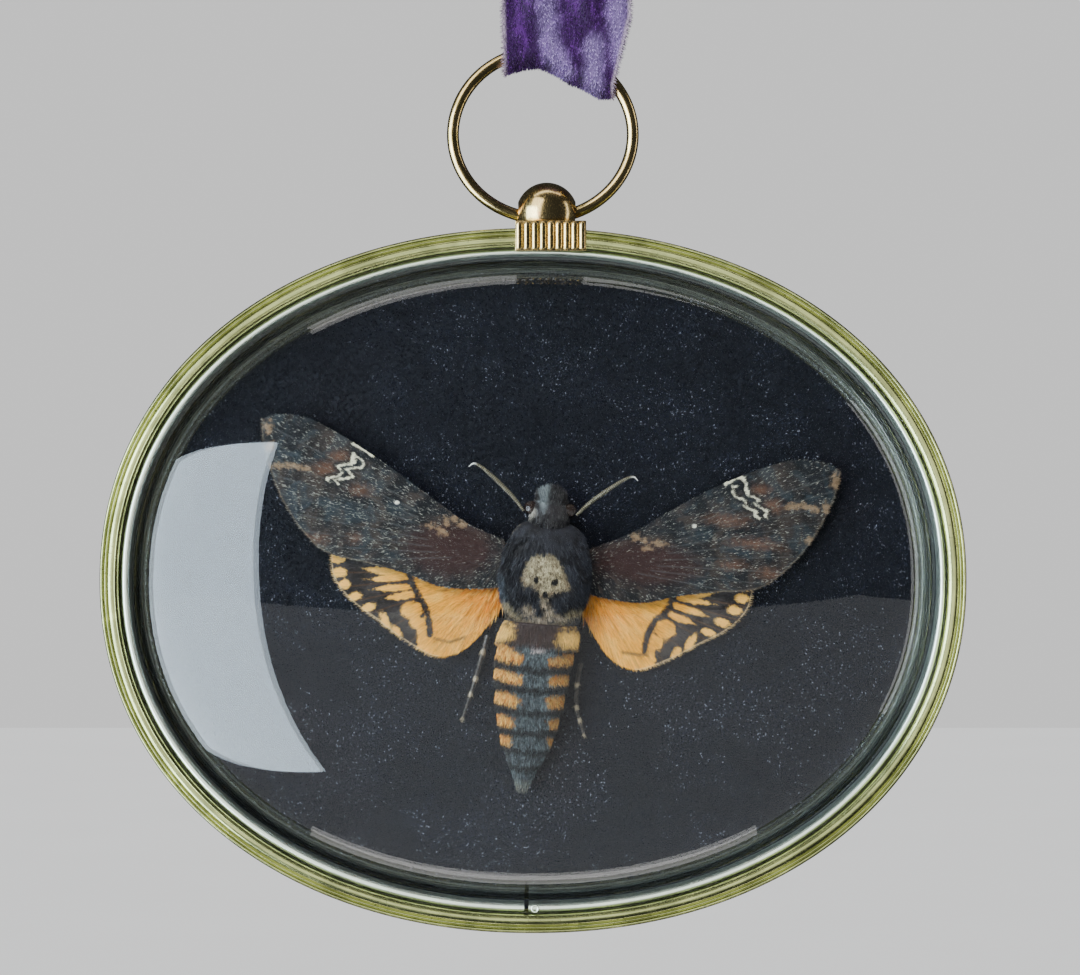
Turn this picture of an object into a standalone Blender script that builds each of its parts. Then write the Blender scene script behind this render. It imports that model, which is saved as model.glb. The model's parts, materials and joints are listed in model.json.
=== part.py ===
"""A hawk moth specimen on dark velvet, in an oval brass frame with a domed glass.

Lengths are in millimetres until a mesh is made. In the drawing coordinates x runs right,
y runs back and z runs up from the middle of the oval. The model's own origin is at the
top of the ribbon's loop, where the frame hangs.
"""

import math

import bmesh
import bpy
from mathutils import Matrix, Vector

MM = 0.001
GAP = 0.3

# Oval frame
OVAL_WIDTH = 150.0
OVAL_HEIGHT = 122.0
OVAL_POWER = 2.1
OVAL_SIDES = 64
RIM_FRONT = -5.0
RIM_BACK = 9.5
RIM_WALL = 1.0
BEAD_WIDTH = 3.3
BEAD_DEPTH = 3.0
REAR_LIP = 5.0

# Split ring that holds the glass
SLIP_INSET = BEAD_WIDTH + GAP
SLIP_WIDTH = 1.2
SLIP_RECESS = 0.7
SLIP_DEPTH = 3.5
SLIP_JOINT_X = -1.2
SLIP_JOINT_GAP = 0.8

# Domed glass
GLASS_RISE = 16.5
GLASS_WALL = 1.4
GLASS_FLANGE = 1.8
DOME_INSET = SLIP_INSET + SLIP_WIDTH + 0.5
DOME_POWER = 2.3
DOME_FALL = 0.62
OUTER_RINGS = (1.0, 0.965, 0.88, 0.7, 0.4)
INNER_RINGS = (1.0, 0.93, 0.76, 0.45)

# Layers behind the glass
PAD_DEPTH = 2.4
BOARD_DEPTH = 4.0

# Ball, collar and ring of the hanger
BALL_RADIUS = 5.4
BALL_X = 2.4
BALL_Z = 63.9
BORE_RADIUS = 1.85
BORE_Z = 63.68
COLLAR_X = 3.05
COLLAR_BOTTOM = 56.9
COLLAR_TOP = 62.1
COLLAR_PLATE = 0.6
COLLAR_BACK = 8.5
FLUTES = 9
FLUTE_PITCH = 1.36
FLUTE_RISE = 0.55
RING_X = 1.7
RING_Z = 77.7
RING_HALF_WIDTH = 15.7
RING_HALF_HEIGHT = 14.6
WIRE_RADIUS = 1.05

# Ribbon
RIBBON_THICKNESS = 1.2
RIBBON_LOW_WIDTH = 18.8
RIBBON_TOP_WIDTH = 22.2
RIBBON_LOW_X = 4.5
RIBBON_TOP_X = 5.8
RIBBON_WIDE_Z = 98.0
LOOP_SLACK = 1.0
LOOP_SAG = 2.2
SAG_SHARES = (0.3, 0.6, 0.88, 1.0)
LOOP_HALF_GAP = 3.6
LOOP_TOP = 119.0
FOLD_DEPTH = 0.7
FOLD_COUNT = 2.5
FOLD_START = 0.6
FOLD_LOW_Z = 95.0
FOLD_HIGH_Z = 115.0
FOLD_FADE = 7.0
GATHER = 6.0

# Moth: lengths across and along its body, heights above the velvet
MOTH_X = 2.1
MOTH_Z = 1.7
MOTH_TURN = 4.85
BODY_FOOT = 0.4
THORAX_BACK = -9.6
THORAX_FRONT = 8.3
THORAX_LENGTH = 10.6
THORAX_HALF_WIDTH = 7.9
THORAX_TOP = 9.2
HEAD_FRONT = 13.9
HEAD_HALF_WIDTH = 4.1
HEAD_TOP = 6.8
TAIL = -38.1
ABDOMEN_HALF_WIDTH = 7.1
ABDOMEN_TOP = 8.6
ABDOMEN_SIDE_SHIFT = -0.8
ABDOMEN_SEGMENTS = 7
WING_THICKNESS = 0.5
WING_SCALE = {"left": 1.0, "right": 0.965}
WING_BOW = {"left": -0.8, "right": 0.7}
FOREWING_HEIGHT = 2.4
HINDWING_HEIGHT = 1.0
WING_ROOT = 7.4
FOREWING_LEADING = ((7.4, 4.4), (14.6, 7.6), (21.0, 11.7), (28.0, 16.1), (36.0, 20.4), (43.0, 23.1),
                    (48.5, 23.2), (51.2, 21.9))
FOREWING_TRAILING = ((7.4, -3.6), (12.6, -4.3), (18.0, -4.3), (24.0, -2.6), (31.0, -1.3),
                     (37.8, -0.2), (42.2, 2.9), (46.3, 8.0), (49.1, 13.6), (50.8, 18.6), (51.2, 21.9))
HINDWING_LEADING = ((6.6, 0.6), (14.0, 2.6), (23.0, 3.4), (31.0, 2.8), (37.4, 0.6))
HINDWING_TRAILING = ((6.8, -6.4), (8.6, -9.6), (11.4, -13.5), (14.5, -15.9), (18.0, -16.5),
                     (21.8, -15.0), (25.4, -13.0), (28.8, -10.8), (32.0, -8.9), (34.8, -6.6),
                     (36.8, -3.6), (37.4, 0.6))
ANTENNA = ((4.6, 10.0, 5.0), (6.6, 12.2, 4.9), (9.4, 14.6, 4.6), (12.2, 16.7, 4.3), (13.8, 17.4, 4.2),
           (14.7, 16.8, 4.1))
ANTENNA_RADIUS = 0.42
LEG_RADIUS = 0.5
LEGS = {
    "left": ((-9.0, -12.2, 1.1), (-9.6, -15.2, 1.0), (-10.5, -19.9, 0.9), (-11.1, -22.6, 0.8),
             (-12.2, -27.2, 0.8)),
    "right": ((7.6, -15.6, 1.1), (7.2, -19.4, 1.0), (7.5, -23.4, 0.9), (8.2, -25.6, 0.8),
              (9.2, -28.2, 0.8)),
}

SLIP_FRONT = RIM_FRONT + SLIP_RECESS
SLIP_BACK = SLIP_FRONT + SLIP_DEPTH
FLANGE_FRONT = SLIP_BACK + GAP
FLANGE_BACK = FLANGE_FRONT + GLASS_FLANGE
PAD_FRONT = FLANGE_BACK + GAP
BOARD_FRONT = PAD_FRONT + PAD_DEPTH + GAP
HANG_POINT = (RIBBON_TOP_X, 0.0, LOOP_TOP)
SWIVEL_POINT = (BALL_X, 0.0, BORE_Z)


def material(name, colour, roughness, metallic=0.0, transmission=0.0):
    """A plain Principled material."""
    made = bpy.data.materials.new(name)
    made.use_nodes = True
    shader = made.node_tree.nodes["Principled BSDF"]
    shader.inputs["Base Color"].default_value = (*colour, 1.0)
    shader.inputs["Roughness"].default_value = roughness
    shader.inputs["Metallic"].default_value = metallic
    shader.inputs["Transmission Weight"].default_value = transmission
    return made


def place(obj, parent, finish):
    """Gives an object its material and hangs it on its body's empty, drawn in oval coordinates."""
    obj.data.materials.append(finish)
    bpy.context.scene.collection.objects.link(obj)
    obj.parent = parent
    obj.location = -Vector(parent["drawn_at"])
    return obj


def body_empty(name, point):
    """An empty on a body's pivot, which the body's pieces hang on."""
    empty = bpy.data.objects.new(name, None)
    bpy.context.scene.collection.objects.link(empty)
    empty.location = (Vector(point) - Vector(HANG_POINT)) * MM
    empty["drawn_at"] = Vector(point) * MM
    return empty


def mesh_object(name, vertices, faces, smooth=True):
    """An object from corners in millimetres and faces, turned to point outwards."""
    mesh = bpy.data.meshes.new(name)
    mesh.from_pydata([Vector(v) * MM for v in vertices], [], faces)
    work = bmesh.new()
    work.from_mesh(mesh)
    bmesh.ops.recalc_face_normals(work, faces=work.faces)
    bmesh.ops.triangulate(work, faces=work.faces)
    work.to_mesh(mesh)
    work.free()
    if smooth:
        mesh.shade_smooth()
        mesh.set_sharp_from_angle(angle=math.radians(35))
    return bpy.data.objects.new(name, mesh)


def cut(obj, cutter, operation="DIFFERENCE"):
    """Applies a Boolean with the exact solver and drops the cutter."""
    scene = bpy.context.scene.collection.objects
    scene.link(obj)
    scene.link(cutter)
    modifier = obj.modifiers.new("cut", "BOOLEAN")
    modifier.operation = operation
    modifier.solver = "EXACT"
    modifier.object = cutter
    evaluated = obj.evaluated_get(bpy.context.evaluated_depsgraph_get())
    mesh = bpy.data.meshes.new_from_object(evaluated)
    obj.modifiers.clear()
    obj.data = mesh
    scene.unlink(obj)
    bpy.data.objects.remove(cutter)
    return obj


def smooth_curve(points, count):
    """Points spaced evenly along a Catmull-Rom curve through the given points."""
    knots = [Vector(p) for p in points]
    knots = [2 * knots[0] - knots[1], *knots, 2 * knots[-1] - knots[-2]]
    fine = []
    steps = 24
    for i in range(1, len(knots) - 2):
        a, b, c, d = knots[i - 1:i + 3]
        for k in range(steps):
            t = k / steps
            fine.append(0.5 * (2 * b + (c - a) * t + (2 * a - 5 * b + 4 * c - d) * t * t
                               + (3 * b - a - 3 * c + d) * t * t * t))
    fine.append(knots[-2])
    lengths = [0.0]
    for before, after in zip(fine, fine[1:]):
        lengths.append(lengths[-1] + (after - before).length)
    result = []
    i = 0
    for k in range(count):
        target = lengths[-1] * k / (count - 1)
        while i < len(fine) - 2 and lengths[i + 1] < target:
            i += 1
        share = (target - lengths[i]) / (lengths[i + 1] - lengths[i])
        result.append(fine[i].lerp(fine[i + 1], min(share, 1.0)))
    return result


def oval_point(angle, inset=0.0):
    """A point (x, z) of the oval outline, moved in by inset along the outline's normal."""
    half_width = OVAL_WIDTH / 2
    half_height = OVAL_HEIGHT / 2
    c = math.cos(angle)
    s = math.sin(angle)
    x = half_width * math.copysign(abs(c) ** (2 / OVAL_POWER), c)
    z = half_height * math.copysign(abs(s) ** (2 / OVAL_POWER), s)
    slope_x = math.copysign(abs(x / half_width) ** (OVAL_POWER - 1), x) / half_width
    slope_z = math.copysign(abs(z / half_height) ** (OVAL_POWER - 1), z) / half_height
    length = math.hypot(slope_x, slope_z)
    return x - inset * slope_x / length, z - inset * slope_z / length


def oval_angles(count, start=0.0, span=2 * math.pi):
    return [start + span * i / count for i in range(count)]


def stitch(faces, rows, columns, closed_rows, closed_columns):
    """Quads over a grid of rows and columns of corners."""
    for i in range(rows if closed_rows else rows - 1):
        for j in range(columns if closed_columns else columns - 1):
            a = i * columns + j
            b = i * columns + (j + 1) % columns
            c = ((i + 1) % rows) * columns + (j + 1) % columns
            d = ((i + 1) % rows) * columns + j
            faces.append((a, b, c, d))


def swept_oval(name, profile):
    """A closed section (inset, y) carried all the way round the oval."""
    vertices = []
    for angle in oval_angles(OVAL_SIDES):
        for inset, y in profile:
            x, z = oval_point(angle, inset)
            vertices.append((x, y, z))
    faces = []
    stitch(faces, OVAL_SIDES, len(profile), True, True)
    return mesh_object(name, vertices, faces)


def rim():
    """Brass bezel: rounded outer bead, wider front band, thin side wall and rear lip."""
    bead_back = RIM_FRONT + BEAD_DEPTH
    lip_front = RIM_BACK - 0.9
    profile = (
        (0.0, RIM_BACK),
        (0.0, RIM_FRONT + 1.4),
        (0.5, RIM_FRONT + 0.45),
        (1.15, RIM_FRONT + 0.6),
        (2.2, RIM_FRONT),
        (BEAD_WIDTH, RIM_FRONT + 0.6),
        (BEAD_WIDTH, bead_back),
        (RIM_WALL, bead_back),
        (RIM_WALL, lip_front),
        (REAR_LIP, lip_front),
        (REAR_LIP, RIM_BACK),
    )
    return swept_oval("rim", profile)


def slip_ring():
    """Split ring in front of the glass's edge, with its two ends almost meeting at the bottom."""
    half_width = OVAL_WIDTH / 2
    edges = [SLIP_JOINT_X + side * SLIP_JOINT_GAP / 2 for side in (1, -1)]
    start, end = [-math.acos(abs(x / half_width) ** (OVAL_POWER / 2) * (1 if x > 0 else -1))
                  for x in edges]
    end += 2 * math.pi
    inner = SLIP_INSET + SLIP_WIDTH
    profile = (
        (SLIP_INSET, SLIP_BACK),
        (SLIP_INSET, SLIP_FRONT + 0.3),
        (SLIP_INSET + 0.4, SLIP_FRONT),
        (inner, SLIP_FRONT + 0.5),
        (inner, SLIP_BACK),
    )
    inside = [a for a in oval_angles(OVAL_SIDES, -math.pi / 2) if start < a < end]
    vertices = []
    for angle in [start, *inside, end]:
        for inset, y in profile:
            x, z = oval_point(angle, inset)
            vertices.append((x, y, z))
    rows = len(inside) + 2
    columns = len(profile)
    faces = [tuple(range(columns)), tuple((rows - 1) * columns + j for j in reversed(range(columns)))]
    stitch(faces, rows, columns, False, True)
    return mesh_object("slip_ring", vertices, faces)


def dome_height(f):
    """Share of the dome's rise at a share f of the way from its middle to its edge."""
    return max(0.0, 1.0 - f ** DOME_POWER) ** DOME_FALL


def glass_dome():
    """Domed glass with a flat edge flange, one shell open at the back."""
    inner_inset = DOME_INSET + GLASS_WALL
    rings = [
        (inner_inset, 1.0, FLANGE_BACK),
        (SLIP_INSET, 1.0, FLANGE_BACK),
        (SLIP_INSET, 1.0, FLANGE_FRONT),
    ]
    for f in OUTER_RINGS:
        rings.append((DOME_INSET, f, FLANGE_FRONT - GLASS_RISE * dome_height(f)))
    outer_count = len(rings)
    inner_rise = GLASS_RISE - GLASS_WALL
    for f in reversed(INNER_RINGS):
        rings.append((inner_inset, f, FLANGE_FRONT - inner_rise * dome_height(f)))
    vertices = []
    for inset, f, y in rings:
        for angle in oval_angles(OVAL_SIDES):
            x, z = oval_point(angle, inset)
            vertices.append((x * f, y, z * f))
    faces = []
    sides = OVAL_SIDES
    for i in range(len(rings)):
        if i == outer_count - 1:
            continue
        following = (i + 1) % len(rings)
        for j in range(sides):
            k = (j + 1) % sides
            faces.append((i * sides + j, i * sides + k, following * sides + k, following * sides + j))
    poles = ((outer_count - 1, FLANGE_FRONT - GLASS_RISE), (outer_count, FLANGE_FRONT - inner_rise))
    for ring_row, y in poles:
        vertices.append((0.0, y, 0.0))
        for j in range(sides):
            faces.append((ring_row * sides + j, ring_row * sides + (j + 1) % sides, len(vertices) - 1))
    return mesh_object("glass_dome", vertices, faces)


def oval_slab(name, inset, front, back):
    """A flat oval board."""
    vertices = []
    for y in (front, back):
        for angle in oval_angles(OVAL_SIDES):
            x, z = oval_point(angle, inset)
            vertices.append((x, y, z))
    faces = [tuple(range(OVAL_SIDES)), tuple(range(OVAL_SIDES, 2 * OVAL_SIDES))]
    stitch(faces, 2, OVAL_SIDES, False, True)
    return mesh_object(name, vertices, faces)


def ball_solid(name, radius, segments, rings):
    """A sphere at the ball's place, drawn in millimetres."""
    mesh = bpy.data.meshes.new(name)
    work = bmesh.new()
    bmesh.ops.create_uvsphere(work, u_segments=segments, v_segments=rings, radius=radius * MM)
    bmesh.ops.translate(work, verts=work.verts, vec=Vector((BALL_X, 0.0, BALL_Z)) * MM)
    work.to_mesh(mesh)
    work.free()
    return bpy.data.objects.new(name, mesh)


def box_solid(name, low, high):
    """A box between two corners."""
    vertices = [(x, y, z) for x in (low[0], high[0]) for y in (low[1], high[1])
                for z in (low[2], high[2])]
    faces = [(0, 1, 3, 2), (4, 6, 7, 5), (0, 4, 5, 1), (2, 3, 7, 6), (0, 2, 6, 4), (1, 5, 7, 3)]
    return mesh_object(name, vertices, faces, smooth=False)


def hanger_ball():
    """Ball with a flat foot just above the rim and a straight hole for the ring."""
    ball = ball_solid("hanger_ball", BALL_RADIUS, 28, 14)
    foot = OVAL_HEIGHT / 2 + GAP
    reach = 2 * BALL_RADIUS
    below = box_solid("below", (BALL_X - reach, -reach, foot - reach), (BALL_X + reach, reach, foot))
    ball = cut(ball, below)
    drill_mesh = bpy.data.meshes.new("drill")
    work = bmesh.new()
    bmesh.ops.create_cone(work, cap_ends=True, segments=20, radius1=BORE_RADIUS * MM,
                          radius2=BORE_RADIUS * MM, depth=3 * BALL_RADIUS * MM)
    across = Matrix.Translation(Vector(SWIVEL_POINT) * MM) @ Matrix.Rotation(math.pi / 2, 4, "Y")
    bmesh.ops.transform(work, matrix=across, verts=work.verts)
    work.to_mesh(drill_mesh)
    work.free()
    ball = cut(ball, bpy.data.objects.new("drill", drill_mesh))
    ball.data.shade_smooth()
    ball.data.set_sharp_from_angle(angle=math.radians(35))
    return ball


def hanger_collar():
    """Ribbed clip: a fluted plate over the rim's front and a strip over its top, round the ball."""
    back = RIM_FRONT - GAP
    front = back - COLLAR_PLATE
    width = FLUTES * FLUTE_PITCH
    left = COLLAR_X - width / 2
    section = [(left + width, back), (left, back)]
    steps = 5
    for i in range(FLUTES):
        for k in range(steps):
            turn = math.pi * k / steps
            middle = left + (i + 0.5) * FLUTE_PITCH
            section.append((middle - FLUTE_PITCH / 2 * math.cos(turn), front - FLUTE_RISE * math.sin(turn)))
    section.append((left + width, front))
    count = len(section)
    vertices = [(x, y, z) for z in (COLLAR_BOTTOM, COLLAR_TOP) for x, y in section]
    faces = [tuple(range(count)), tuple(range(count, 2 * count))]
    stitch(faces, 2, count, False, True)
    collar = mesh_object("hanger_collar", vertices, faces)
    overlap = COLLAR_PLATE / 2
    strip = box_solid("strip", (left, back - overlap, OVAL_HEIGHT / 2 + GAP),
                      (left + width, COLLAR_BACK, COLLAR_TOP))
    collar = cut(collar, strip, "UNION")
    collar = cut(collar, ball_solid("room_for_ball", BALL_RADIUS + GAP, 28, 14))
    collar.data.shade_smooth()
    collar.data.set_sharp_from_angle(angle=math.radians(35))
    return collar


def ring():
    """Closed wire ring, a little wider than tall, through the ball."""
    around = 48
    sides = 8
    vertices = []
    for i in range(around):
        turn = 2 * math.pi * i / around
        middle = Vector((RING_HALF_WIDTH * math.cos(turn), 0.0, RING_HALF_HEIGHT * math.sin(turn)))
        outward = Vector((RING_HALF_HEIGHT * math.cos(turn), 0.0, RING_HALF_WIDTH * math.sin(turn)))
        outward.normalize()
        for k in range(sides):
            roll = 2 * math.pi * k / sides
            point = middle + outward * WIRE_RADIUS * math.cos(roll)
            vertices.append((RING_X + point.x, WIRE_RADIUS * math.sin(roll), RING_Z + point.z))
    faces = []
    stitch(faces, around, sides, True, True)
    return mesh_object("ring", vertices, faces)


def ribbon_x(share, z):
    """Place across the ribbon, which is gathered in where it passes under the ring."""
    low = RING_Z + RING_HALF_HEIGHT - GATHER
    rise = min(max((z - low) / (RIBBON_WIDE_Z - low), 0.0), 1.0)
    width = RIBBON_LOW_WIDTH + (RIBBON_TOP_WIDTH - RIBBON_LOW_WIDTH) * rise
    middle = RIBBON_LOW_X + (RIBBON_TOP_X - RIBBON_LOW_X) * rise
    return middle + (share - 0.5) * width


def wire_height(x):
    """Height of the ring's top wire above a place across the ribbon."""
    return RING_Z + RING_HALF_HEIGHT * math.sqrt(max(0.0, 1 - ((x - RING_X) / RING_HALF_WIDTH) ** 2))


def loop_sag(share):
    """How much lower than the wire's curve the loop hangs: most in its right half, none at its ends."""
    start, full, fading, end = SAG_SHARES
    rising = min(max((share - start) / (full - start), 0.0), 1.0)
    falling = min(max((end - share) / (end - fading), 0.0), 1.0)
    return LOOP_SAG * min(rising, falling)


def ribbon_section(share, outer):
    """One closed turn of the ribbon's inner or outer side, from the bottom up the back and round."""
    thickness = RIBBON_THICKNESS if outer else 0.0
    low_radius = WIRE_RADIUS + LOOP_SLACK
    bottom = wire_height(ribbon_x(share, 0.0)) - loop_sag(share)
    top = LOOP_TOP - LOOP_HALF_GAP
    points = []
    arc = 5
    for k in range(arc + 1):
        turn = -math.pi / 2 + math.pi / 2 * k / arc
        radius = low_radius + thickness
        points.append((radius * math.cos(turn), bottom + radius * math.sin(turn)))
    rises = (0.25, 0.5, 0.75)
    for rise in rises:
        points.append((low_radius + (LOOP_HALF_GAP - low_radius) * rise + thickness,
                       bottom + (top - bottom) * rise))
    for k in range(arc + 1):
        turn = math.pi / 2 * k / arc
        radius = LOOP_HALF_GAP + thickness
        points.append((radius * math.cos(turn), top + radius * math.sin(turn)))
    mirrored = [(-y, z) for y, z in reversed(points[1:-1])]
    return points + mirrored


def ribbon_fold(share, z):
    """How far the soft upright folds move both layers back, fading out below and above."""
    fold = FOLD_DEPTH * math.sin(2 * math.pi * FOLD_COUNT * share + FOLD_START)
    low = min(1.0, max(0.0, (z - FOLD_LOW_Z) / FOLD_FADE))
    high = min(1.0, max(0.0, (FOLD_HIGH_Z - z) / FOLD_FADE))
    return fold * low * high


def ribbon():
    """Velvet ribbon, a closed loop under the ring's top wire with soft upright folds."""
    across = 10
    loops = []
    for i in range(across + 1):
        share = i / across
        for outer in (True, False):
            turn = []
            for y, z in ribbon_section(share, outer):
                turn.append((ribbon_x(share, z), y + ribbon_fold(share, z), z))
            loops.append(turn)
    count = len(loops[0])
    vertices = [point for turn in loops for point in turn]

    def corner(i, outer, j):
        return (2 * i + (0 if outer else 1)) * count + j % count

    faces = []
    for j in range(count):
        for i in range(across):
            for outer in (True, False):
                faces.append((corner(i, outer, j), corner(i + 1, outer, j),
                              corner(i + 1, outer, j + 1), corner(i, outer, j + 1)))
        for i in (0, across):
            faces.append((corner(i, True, j), corner(i, False, j), corner(i, False, j + 1),
                          corner(i, True, j + 1)))
    return mesh_object("ribbon", vertices, faces)


def moth_point(across, along, height):
    """A place on the moth, in drawing coordinates."""
    turn = math.radians(MOTH_TURN)
    x = MOTH_X + across * math.cos(turn) + along * math.sin(turn)
    z = MOTH_Z - across * math.sin(turn) + along * math.cos(turn)
    return x, PAD_FRONT - height, z


def body_loft(name, stations, sides=14):
    """A body part from oval sections (along, middle, half width, top height)."""
    vertices = []
    for along, middle, half_width, top in stations:
        half_height = (top - BODY_FOOT) / 2
        for k in range(sides):
            turn = 2 * math.pi * k / sides
            vertices.append(moth_point(middle + half_width * math.cos(turn), along,
                                       BODY_FOOT + half_height * (1 + math.sin(turn))))
    rows = len(stations)
    faces = [tuple(range(sides)), tuple((rows - 1) * sides + k for k in range(sides))]
    stitch(faces, rows, sides, False, True)
    return mesh_object(name, vertices, faces)


def thorax_half_width(along):
    return THORAX_HALF_WIDTH * math.sqrt(max(0.0, 1 - ((along + 0.6) / THORAX_LENGTH) ** 2)) ** 0.8


def thorax():
    """Broad barrel of the thorax, blunt at both ends."""
    stations = []
    rows = 9
    for i in range(rows):
        along = THORAX_BACK + (THORAX_FRONT - THORAX_BACK) * i / (rows - 1)
        share = thorax_half_width(along) / THORAX_HALF_WIDTH
        stations.append((along, 0.0, THORAX_HALF_WIDTH * share, BODY_FOOT + (THORAX_TOP - BODY_FOOT) * share))
    return body_loft("thorax", stations, sides=16)


def head():
    """Round head, blunt where it meets the thorax."""
    stations = []
    back = THORAX_FRONT + GAP
    rows = 6
    for i in range(rows):
        share = i / (rows - 1)
        along = back + (HEAD_FRONT - back) * share
        swell = math.sqrt(max(0.05, 1 - (0.94 * share) ** 2.4))
        stations.append((along, 0.0, HEAD_HALF_WIDTH * swell, BODY_FOOT + (HEAD_TOP - BODY_FOOT) * swell))
    return body_loft("head", stations, sides=12)


def abdomen_half_width(share):
    return ABDOMEN_HALF_WIDTH * (1 - share ** 2.3) ** 0.72


def abdomen():
    """Tapered abdomen with a shallow groove between its segments."""
    stations = []
    front = THORAX_BACK - GAP
    for i in range(2 * ABDOMEN_SEGMENTS + 1):
        share = 0.955 * i / (2 * ABDOMEN_SEGMENTS)
        half_width = max(abdomen_half_width(share), 0.9)
        if i % 2 == 0:
            half_width *= 0.95
        rise = half_width / ABDOMEN_HALF_WIDTH
        along = front + (TAIL - front) * i / (2 * ABDOMEN_SEGMENTS)
        middle = ABDOMEN_SIDE_SHIFT * min(1.0, 4 * share)
        stations.append((along, middle, half_width, BODY_FOOT + (ABDOMEN_TOP - BODY_FOOT) * rise))
    return body_loft("abdomen", stations)


def wing(name, side, leading, trailing, height_at, rows, columns):
    """A thin cambered wing between its leading and trailing edges."""
    sign = -1 if side == "left" else 1
    scale = WING_SCALE[side]
    front_edge = smooth_curve([(*p, 0.0) for p in leading], rows)
    if name.startswith("forewing"):
        for i, point in enumerate(front_edge):
            point.y += WING_BOW[side] * math.sin(math.pi * i / (rows - 1))
    back_edge = smooth_curve([(*p, 0.0) for p in trailing], rows)
    front_edge[-1] = front_edge[-1].lerp(front_edge[-2], 0.25)
    back_edge[-1] = back_edge[-1].lerp(back_edge[-2], 0.25)
    vertices = []
    for surface in (-0.5, 0.5):
        for i in range(rows):
            for j in range(columns):
                across = j / (columns - 1)
                point = front_edge[i].lerp(back_edge[i], across)
                height = height_at(i / (rows - 1), across) + surface * WING_THICKNESS
                reach = WING_ROOT + scale * (point.x - WING_ROOT)
                vertices.append(moth_point(sign * reach, scale * point.y, height))
    layer = rows * columns
    faces = []
    for i in range(rows - 1):
        for j in range(columns - 1):
            a = i * columns + j
            faces.append((a, a + 1, a + columns + 1, a + columns))
            faces.append((layer + a, layer + a + columns, layer + a + columns + 1, layer + a + 1))
    edge = [i * columns for i in range(rows)]
    edge += [(rows - 1) * columns + j for j in range(1, columns)]
    edge += [i * columns + columns - 1 for i in reversed(range(rows - 1))]
    edge += list(reversed(range(1, columns - 1)))
    for here, following in zip(edge, edge[1:] + edge[:1]):
        faces.append((here, following, layer + following, layer + here))
    return mesh_object(name, vertices, faces)


def forewing_height(along, across):
    return FOREWING_HEIGHT + 0.5 * math.sin(math.pi * across) * (1 - 0.5 * along) - 0.5 * along ** 2


def hindwing_height(along, across):
    return HINDWING_HEIGHT + 0.25 * math.sin(math.pi * across) * (1 - 0.5 * along)


def tube(name, points, radius_at, count, sides):
    """A tapering round stalk along a smooth curve through points on the moth."""
    route = smooth_curve([moth_point(*p) for p in points], count)
    vertices = []
    for i, middle in enumerate(route):
        ahead = route[min(i + 1, count - 1)] - route[max(i - 1, 0)]
        side = ahead.cross(Vector((0.0, 1.0, 0.0))).normalized()
        rise = side.cross(ahead).normalized()
        for k in range(sides):
            turn = 2 * math.pi * k / sides
            spread = side * math.cos(turn) + rise * math.sin(turn)
            vertices.append(middle + spread * radius_at(i / (count - 1)))
    faces = [tuple(range(sides)), tuple((count - 1) * sides + k for k in range(sides))]
    stitch(faces, count, sides, False, True)
    return mesh_object(name, vertices, faces)


def antenna_radius(share):
    return ANTENNA_RADIUS * (0.62 + 0.38 * math.sin(math.pi * min(1.0, share * 1.15)))


def leg_radius(share):
    return LEG_RADIUS * (1 - 0.5 * share)


def build():
    for old in list(bpy.data.objects):
        bpy.data.objects.remove(old, do_unlink=True)

    hanger = body_empty("hanger", HANG_POINT)
    frame = body_empty("frame", SWIVEL_POINT)

    brass = material("brass", (0.62, 0.47, 0.20), 0.28, metallic=1.0)
    bright_brass = material("bright_brass", (0.86, 0.84, 0.74), 0.15, metallic=1.0)
    glass = material("glass", (1.0, 1.0, 1.0), 0.02, transmission=1.0)
    purple_velvet = material("purple_velvet", (0.13, 0.04, 0.27), 0.85)
    dark_velvet = material("dark_velvet", (0.012, 0.014, 0.030), 0.95)
    board = material("board", (0.16, 0.11, 0.07), 0.8)
    dark_fur = material("dark_fur", (0.04, 0.035, 0.045), 0.9)
    banded_fur = material("banded_fur", (0.12, 0.09, 0.05), 0.85)
    brown_scales = material("brown_scales", (0.07, 0.055, 0.045), 0.8)
    yellow_scales = material("yellow_scales", (0.70, 0.38, 0.06), 0.8)
    horn = material("horn", (0.30, 0.24, 0.13), 0.6)

    place(ribbon(), hanger, purple_velvet)
    place(ring(), hanger, brass)
    place(hanger_ball(), frame, brass)
    place(hanger_collar(), frame, brass)
    place(rim(), frame, brass)
    place(slip_ring(), frame, bright_brass)
    place(glass_dome(), frame, glass)
    place(oval_slab("velvet_pad", SLIP_INSET, PAD_FRONT, PAD_FRONT + PAD_DEPTH), frame, dark_velvet)
    place(oval_slab("back_board", SLIP_INSET, BOARD_FRONT, BOARD_FRONT + BOARD_DEPTH), frame, board)
    place(thorax(), frame, dark_fur)
    place(head(), frame, dark_fur)
    place(abdomen(), frame, banded_fur)
    for side, sign in (("left", -1), ("right", 1)):
        place(wing("forewing_" + side, side, FOREWING_LEADING, FOREWING_TRAILING, forewing_height, 16, 5),
              frame, brown_scales)
        place(wing("hindwing_" + side, side, HINDWING_LEADING, HINDWING_TRAILING, hindwing_height, 12, 5),
              frame, yellow_scales)
        feeler = [(sign * across, along, height) for across, along, height in ANTENNA]
        place(tube("antenna_" + side, feeler, antenna_radius, 12, 6), frame, horn)
        place(tube("hind_leg_" + side, LEGS[side], leg_radius, 9, 6), frame, dark_fur)


build()
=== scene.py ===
"""Looks for a framed hawk moth: brass, domed glass, velvet, fur and wings round the packed solids.

Lengths are in millimetres in drawing coordinates, with x right, y back and z up from the middle
of the oval, until a mesh is made. Places on the moth are given across and along its body, from
the middle of its thorax, and as a height above the velvet.
"""

import json
import math

import bmesh
import bpy
import numpy as np
from bpy.props import FloatProperty, FloatVectorProperty, IntProperty, PointerProperty
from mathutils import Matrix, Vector, noise


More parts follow.
